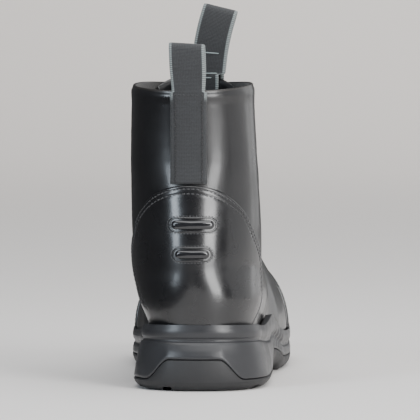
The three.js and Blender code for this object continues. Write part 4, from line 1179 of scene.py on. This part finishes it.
def make_midsole():
    turn = sole_turns(520)
    profile = rounded(SIDE[4:])
    split = split_share(turn)
    rows = [sole_point(turn, split, *place_in) for place_in in ((1.1, GAP / 2), (0.35, 0.25), (0.05, 0.8))]
    first = side_at(profile[0], turn)[0]
    for row in profile:
        share, inset = side_at(row, turn)
        start = side_at(SIDE[6], turn)[0]
        lower = lerp(split + 0.06, start, np.clip((share - first) / (start - first), 0, 1))
        lifted = np.where(share < start, lower, share)
        rows.append(sole_point(turn, lifted, inset + side_relief(turn, lifted)))
    profile_top = rows[-1]
    inner = upper_offset(turn, 1, 0.1)
    rows.append(lerp(profile_top, inner, 0.3) + [0, 0, 0.12])
    rows.append(lerp(profile_top, inner, 0.8) + [0, 0, -0.05])
    rows.append(upper_offset(turn, 0.8, 0.1))
    rows = np.array(rows)
    points, faces = tube(rows, caps=False)
    thing = piece("midsole_rubber", points, faces, [SOLE_RUBBER])
    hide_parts("midsole")


def groove_depth(x, y):
    """Depth of the tread's grooves under a point."""
    depth = np.zeros_like(x)
    half = LUG_GROOVE / 2

    def trench(distance):
        return 1 - smooth(np.abs(distance), half - 0.5, half + 0.5)

    for share in np.linspace(FORE_GROOVE_FROM, FORE_GROOVE_TO, FORE_GROOVES):
        distance = (y - share * LENGTH) * math.cos(0.12) + x * math.sin(0.12)
        depth = np.maximum(depth, trench(distance))
    for share in np.linspace(HEEL_GROOVE_FROM, HEEL_GROOVE_TO, HEEL_GROOVES):
        depth = np.maximum(depth, trench(y - share * LENGTH))
    depth = np.maximum(depth, trench(x + 0.2 * HEEL_WIDTH) * (1 - smooth(y, 26.7, 27.7)))
    return LUG_DEPTH * depth


def make_outsole():
    half = np.linspace(0, math.pi, 401)
    turn = np.concatenate([half, -half[-2:0:-1]])
    profile = rounded(SIDE[:4], 2)
    split = split_share(turn)
    rows = [sole_point(turn, split, *place_in) for place_in in ((1.1, -GAP / 2), (0.3, -0.35), (0.02, -0.9))]
    for row in profile[::-1]:
        share, inset = side_at(row, turn)
        share = np.minimum(share, split - 0.03)
        rows.append(sole_point(turn, share, inset))
    rim = rows[-1]
    mirrored = np.concatenate([rim[:1], rim[1:][::-1]])
    for k in np.linspace(0, 0.5, 34)[1:]:
        rows.append(lerp(rim, mirrored, k))
    rows = np.array(rows)
    flat = rows[3:]
    low = smooth(6 + tread(flat[..., 1]) - flat[..., 2], 3.4, 5.6)
    flat[..., 2] += groove_depth(flat[..., 0], flat[..., 1]) * low
    points, faces = tube(rows, caps=False)
    thing = piece("outsole_rubber", points, faces, [TREAD_RUBBER], weld=2e-6)
    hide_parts("outsole")


def make_insole():
    turn = sole_turns(240)
    rows = []
    for out, lift in ((-WALL - GAP, SEAT_GAP), (-WALL - GAP, 2.8), (-WALL - 0.6, 3.3), (-WALL - 1.2, 3.5)):
        ring = upper_offset(turn, 0, out)
        rows.append(np.stack([ring[:, 0], ring[:, 1], seat(ring[:, 1]) + lift], -1))
    rim = rows[-1]
    mirrored = np.concatenate([rim[:1], rim[1:][::-1]])
    for k in np.linspace(0, 0.5, 14)[1:]:
        rows.append(lerp(rim, mirrored, k) - [0, 0, 1.2 * math.sin(k * math.pi)])
    points, faces = tube(np.array(rows), caps=False)
    thing = piece("insole_lining", points, faces, [LINING], weld=2e-6)
    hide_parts("insole")


make_upper()
counter_base, counter_edge = counter_curves()
lens("counter_leather_plate", counter_base, counter_edge, "heel_counter", COUNTER_LEATHER, counter_swell)
cap_base, cap_edge = cap_curves()
lens("cap_leather_plate", cap_base, cap_edge, "toe_cap", BLACK_LEATHER)
for distance in STITCH_ROWS:
    sew_path(path_at(counter_base, counter_edge, distance), GAP + LEATHER - 0.12)
    sew_path(path_at(cap_base, cap_edge, distance), GAP + LEATHER - 0.12)
make_rest("upper")
make_rest("lower")
make_eyestay()
for number in range(EYELET_PAIRS):
    make_eyelet(number, 1)
    make_eyelet(number, -1)
make_lace()
make_tongue()
make_rear_tape()
make_front_tape()
make_midsole()
make_outsole()
make_insole()
THREADS = (("black", THREAD, "overlay"), ("dark", DARK_THREAD, "webbing"), ("pale", PALE_THREAD, "webbing"))
for kind, cloth, slot in THREADS:
    kept = stitches[kind]
    thread = piece(kind + "_stitches", np.concatenate(kept["points"]), kept["faces"], [cloth])


# Stage: a pale sweep, soft studio light
SWEEP_FRONT, SWEEP_RADIUS = 3.0, 4.0
SWEEP_X = (-12, -0.12, 1.6, 12)
SWEEP_Y = (-9, -1.6, 1.2, SWEEP_FRONT)


def make_sweep(material):
    """A floor that turns up into a wall behind the boot.

    The leather mirrors only the patch of floor beside it, as in the photo, where the other boot
    stands on its left and the room behind the camera is dark.
    """
    profile = [(y, 0) for y in SWEEP_Y]
    for a in np.linspace(0, math.pi / 2, 24)[1:]:
        profile.append((SWEEP_FRONT + SWEEP_RADIUS * math.sin(a), SWEEP_RADIUS * (1 - math.cos(a))))
    profile.append((SWEEP_FRONT + SWEEP_RADIUS, 6))
    points = [(x, y, z) for y, z in profile for x in SWEEP_X]
    faces = grid(len(profile), len(SWEEP_X))
    patch = (len(SWEEP_X) - 1) + 1
    for name, kept in (("floor_patch", [faces[patch]]), ("sweep", faces[:patch] + faces[patch + 1 :])):
        mesh = bpy.data.meshes.new(name)
        mesh.from_pydata(points, [], kept)
        mesh.materials.append(material)
        mesh.shade_smooth()
        thing = bpy.data.objects.new(name, mesh)
        thing.visible_glossy = name == "floor_patch"
        bpy.context.scene.collection.objects.link(thing)


sweep_material, sweep_tree, sweep_shader = nodes_of("pale_sweep", (0.74, 0.72, 0.705), 0.7)
bump(sweep_tree, sweep_shader, noise(sweep_tree, 40), 0.02, 0.0005)
make_sweep(sweep_material)


def area_light(name, position, target, size, power, colour=(1, 1, 1)):
    data = bpy.data.lights.new(name, "AREA")
    data.shape = "RECTANGLE"
    data.size, data.size_y = size
    data.energy, data.color = power, colour
    lamp = bpy.data.objects.new(name, data)
    lamp.location = position
    lamp.rotation_euler = (Vector(target) - Vector(position)).to_track_quat("-Z", "Y").to_euler()
    bpy.context.scene.collection.objects.link(lamp)


MIDDLE = (0, 0, 0.1)
area_light("key", (1.55, -1.55, 0.85), MIDDLE, (0.85, 1.6), 66)
area_light("side", (2.6, 0.9, 0.8), MIDDLE, (3.4, 2.4), 24)
area_light("front", (2.1, 3.1, 0.9), MIDDLE, (2.2, 2.0), 14)
area_light("bounce", (1.1, -1.05, 0.01), (1.1, -1.05, 1), (1.1, 1.1), 5)
area_light("left", (-1.42, -1.65, 0.8), MIDDLE, (0.55, 1.3), 30, (0.8, 0.9, 1))
area_light("overhead", (0.3, -0.4, 2.6), MIDDLE, (3.0, 3.0), 104)
area_light("wall_wash", (1.4, 3.5, 3.4), (0.8, 7, 1.0), (6.0, 1.0), 225, (1, 0.965, 0.93))
world = bpy.data.worlds.new("studio")
bpy.context.scene.world = world
world.use_nodes = True
world.node_tree.nodes["Background"].inputs["Color"].default_value = (0.75, 0.75, 0.76, 1)
world.node_tree.nodes["Background"].inputs["Strength"].default_value = 0.12

# Camera: the photo's own place, turned so that the one boot is in the middle of the picture
FOCAL = 3670  # in pixels of the 420 pixel photo
PHOTO = 420
TOE_OUT = math.radians(5.9)
camera_data = bpy.data.cameras.new("camera")
camera = bpy.data.objects.new("camera", camera_data)
bpy.context.scene.collection.objects.link(camera)
ahead = Vector((-math.sin(TOE_OUT), math.cos(TOE_OUT), 0))
right = Vector((math.cos(TOE_OUT), math.sin(TOE_OUT), 0))
heel_back = Vector((0, -ORIGIN_Y * 0.001, 0))
camera.location = heel_back - ahead * 2.0 - right * 0.0332 + Vector((0, 0, 0.1908))
aim = ahead * FOCAL + right * 77.5 + Vector((0, 0, -167))
camera.rotation_euler = aim.to_track_quat("-Z", "Y").to_euler()
camera_data.sensor_width = 36
camera_data.lens = 36 * FOCAL / PHOTO
camera_data.clip_start, camera_data.clip_end = 0.05, 20
bpy.context.scene.camera = camera
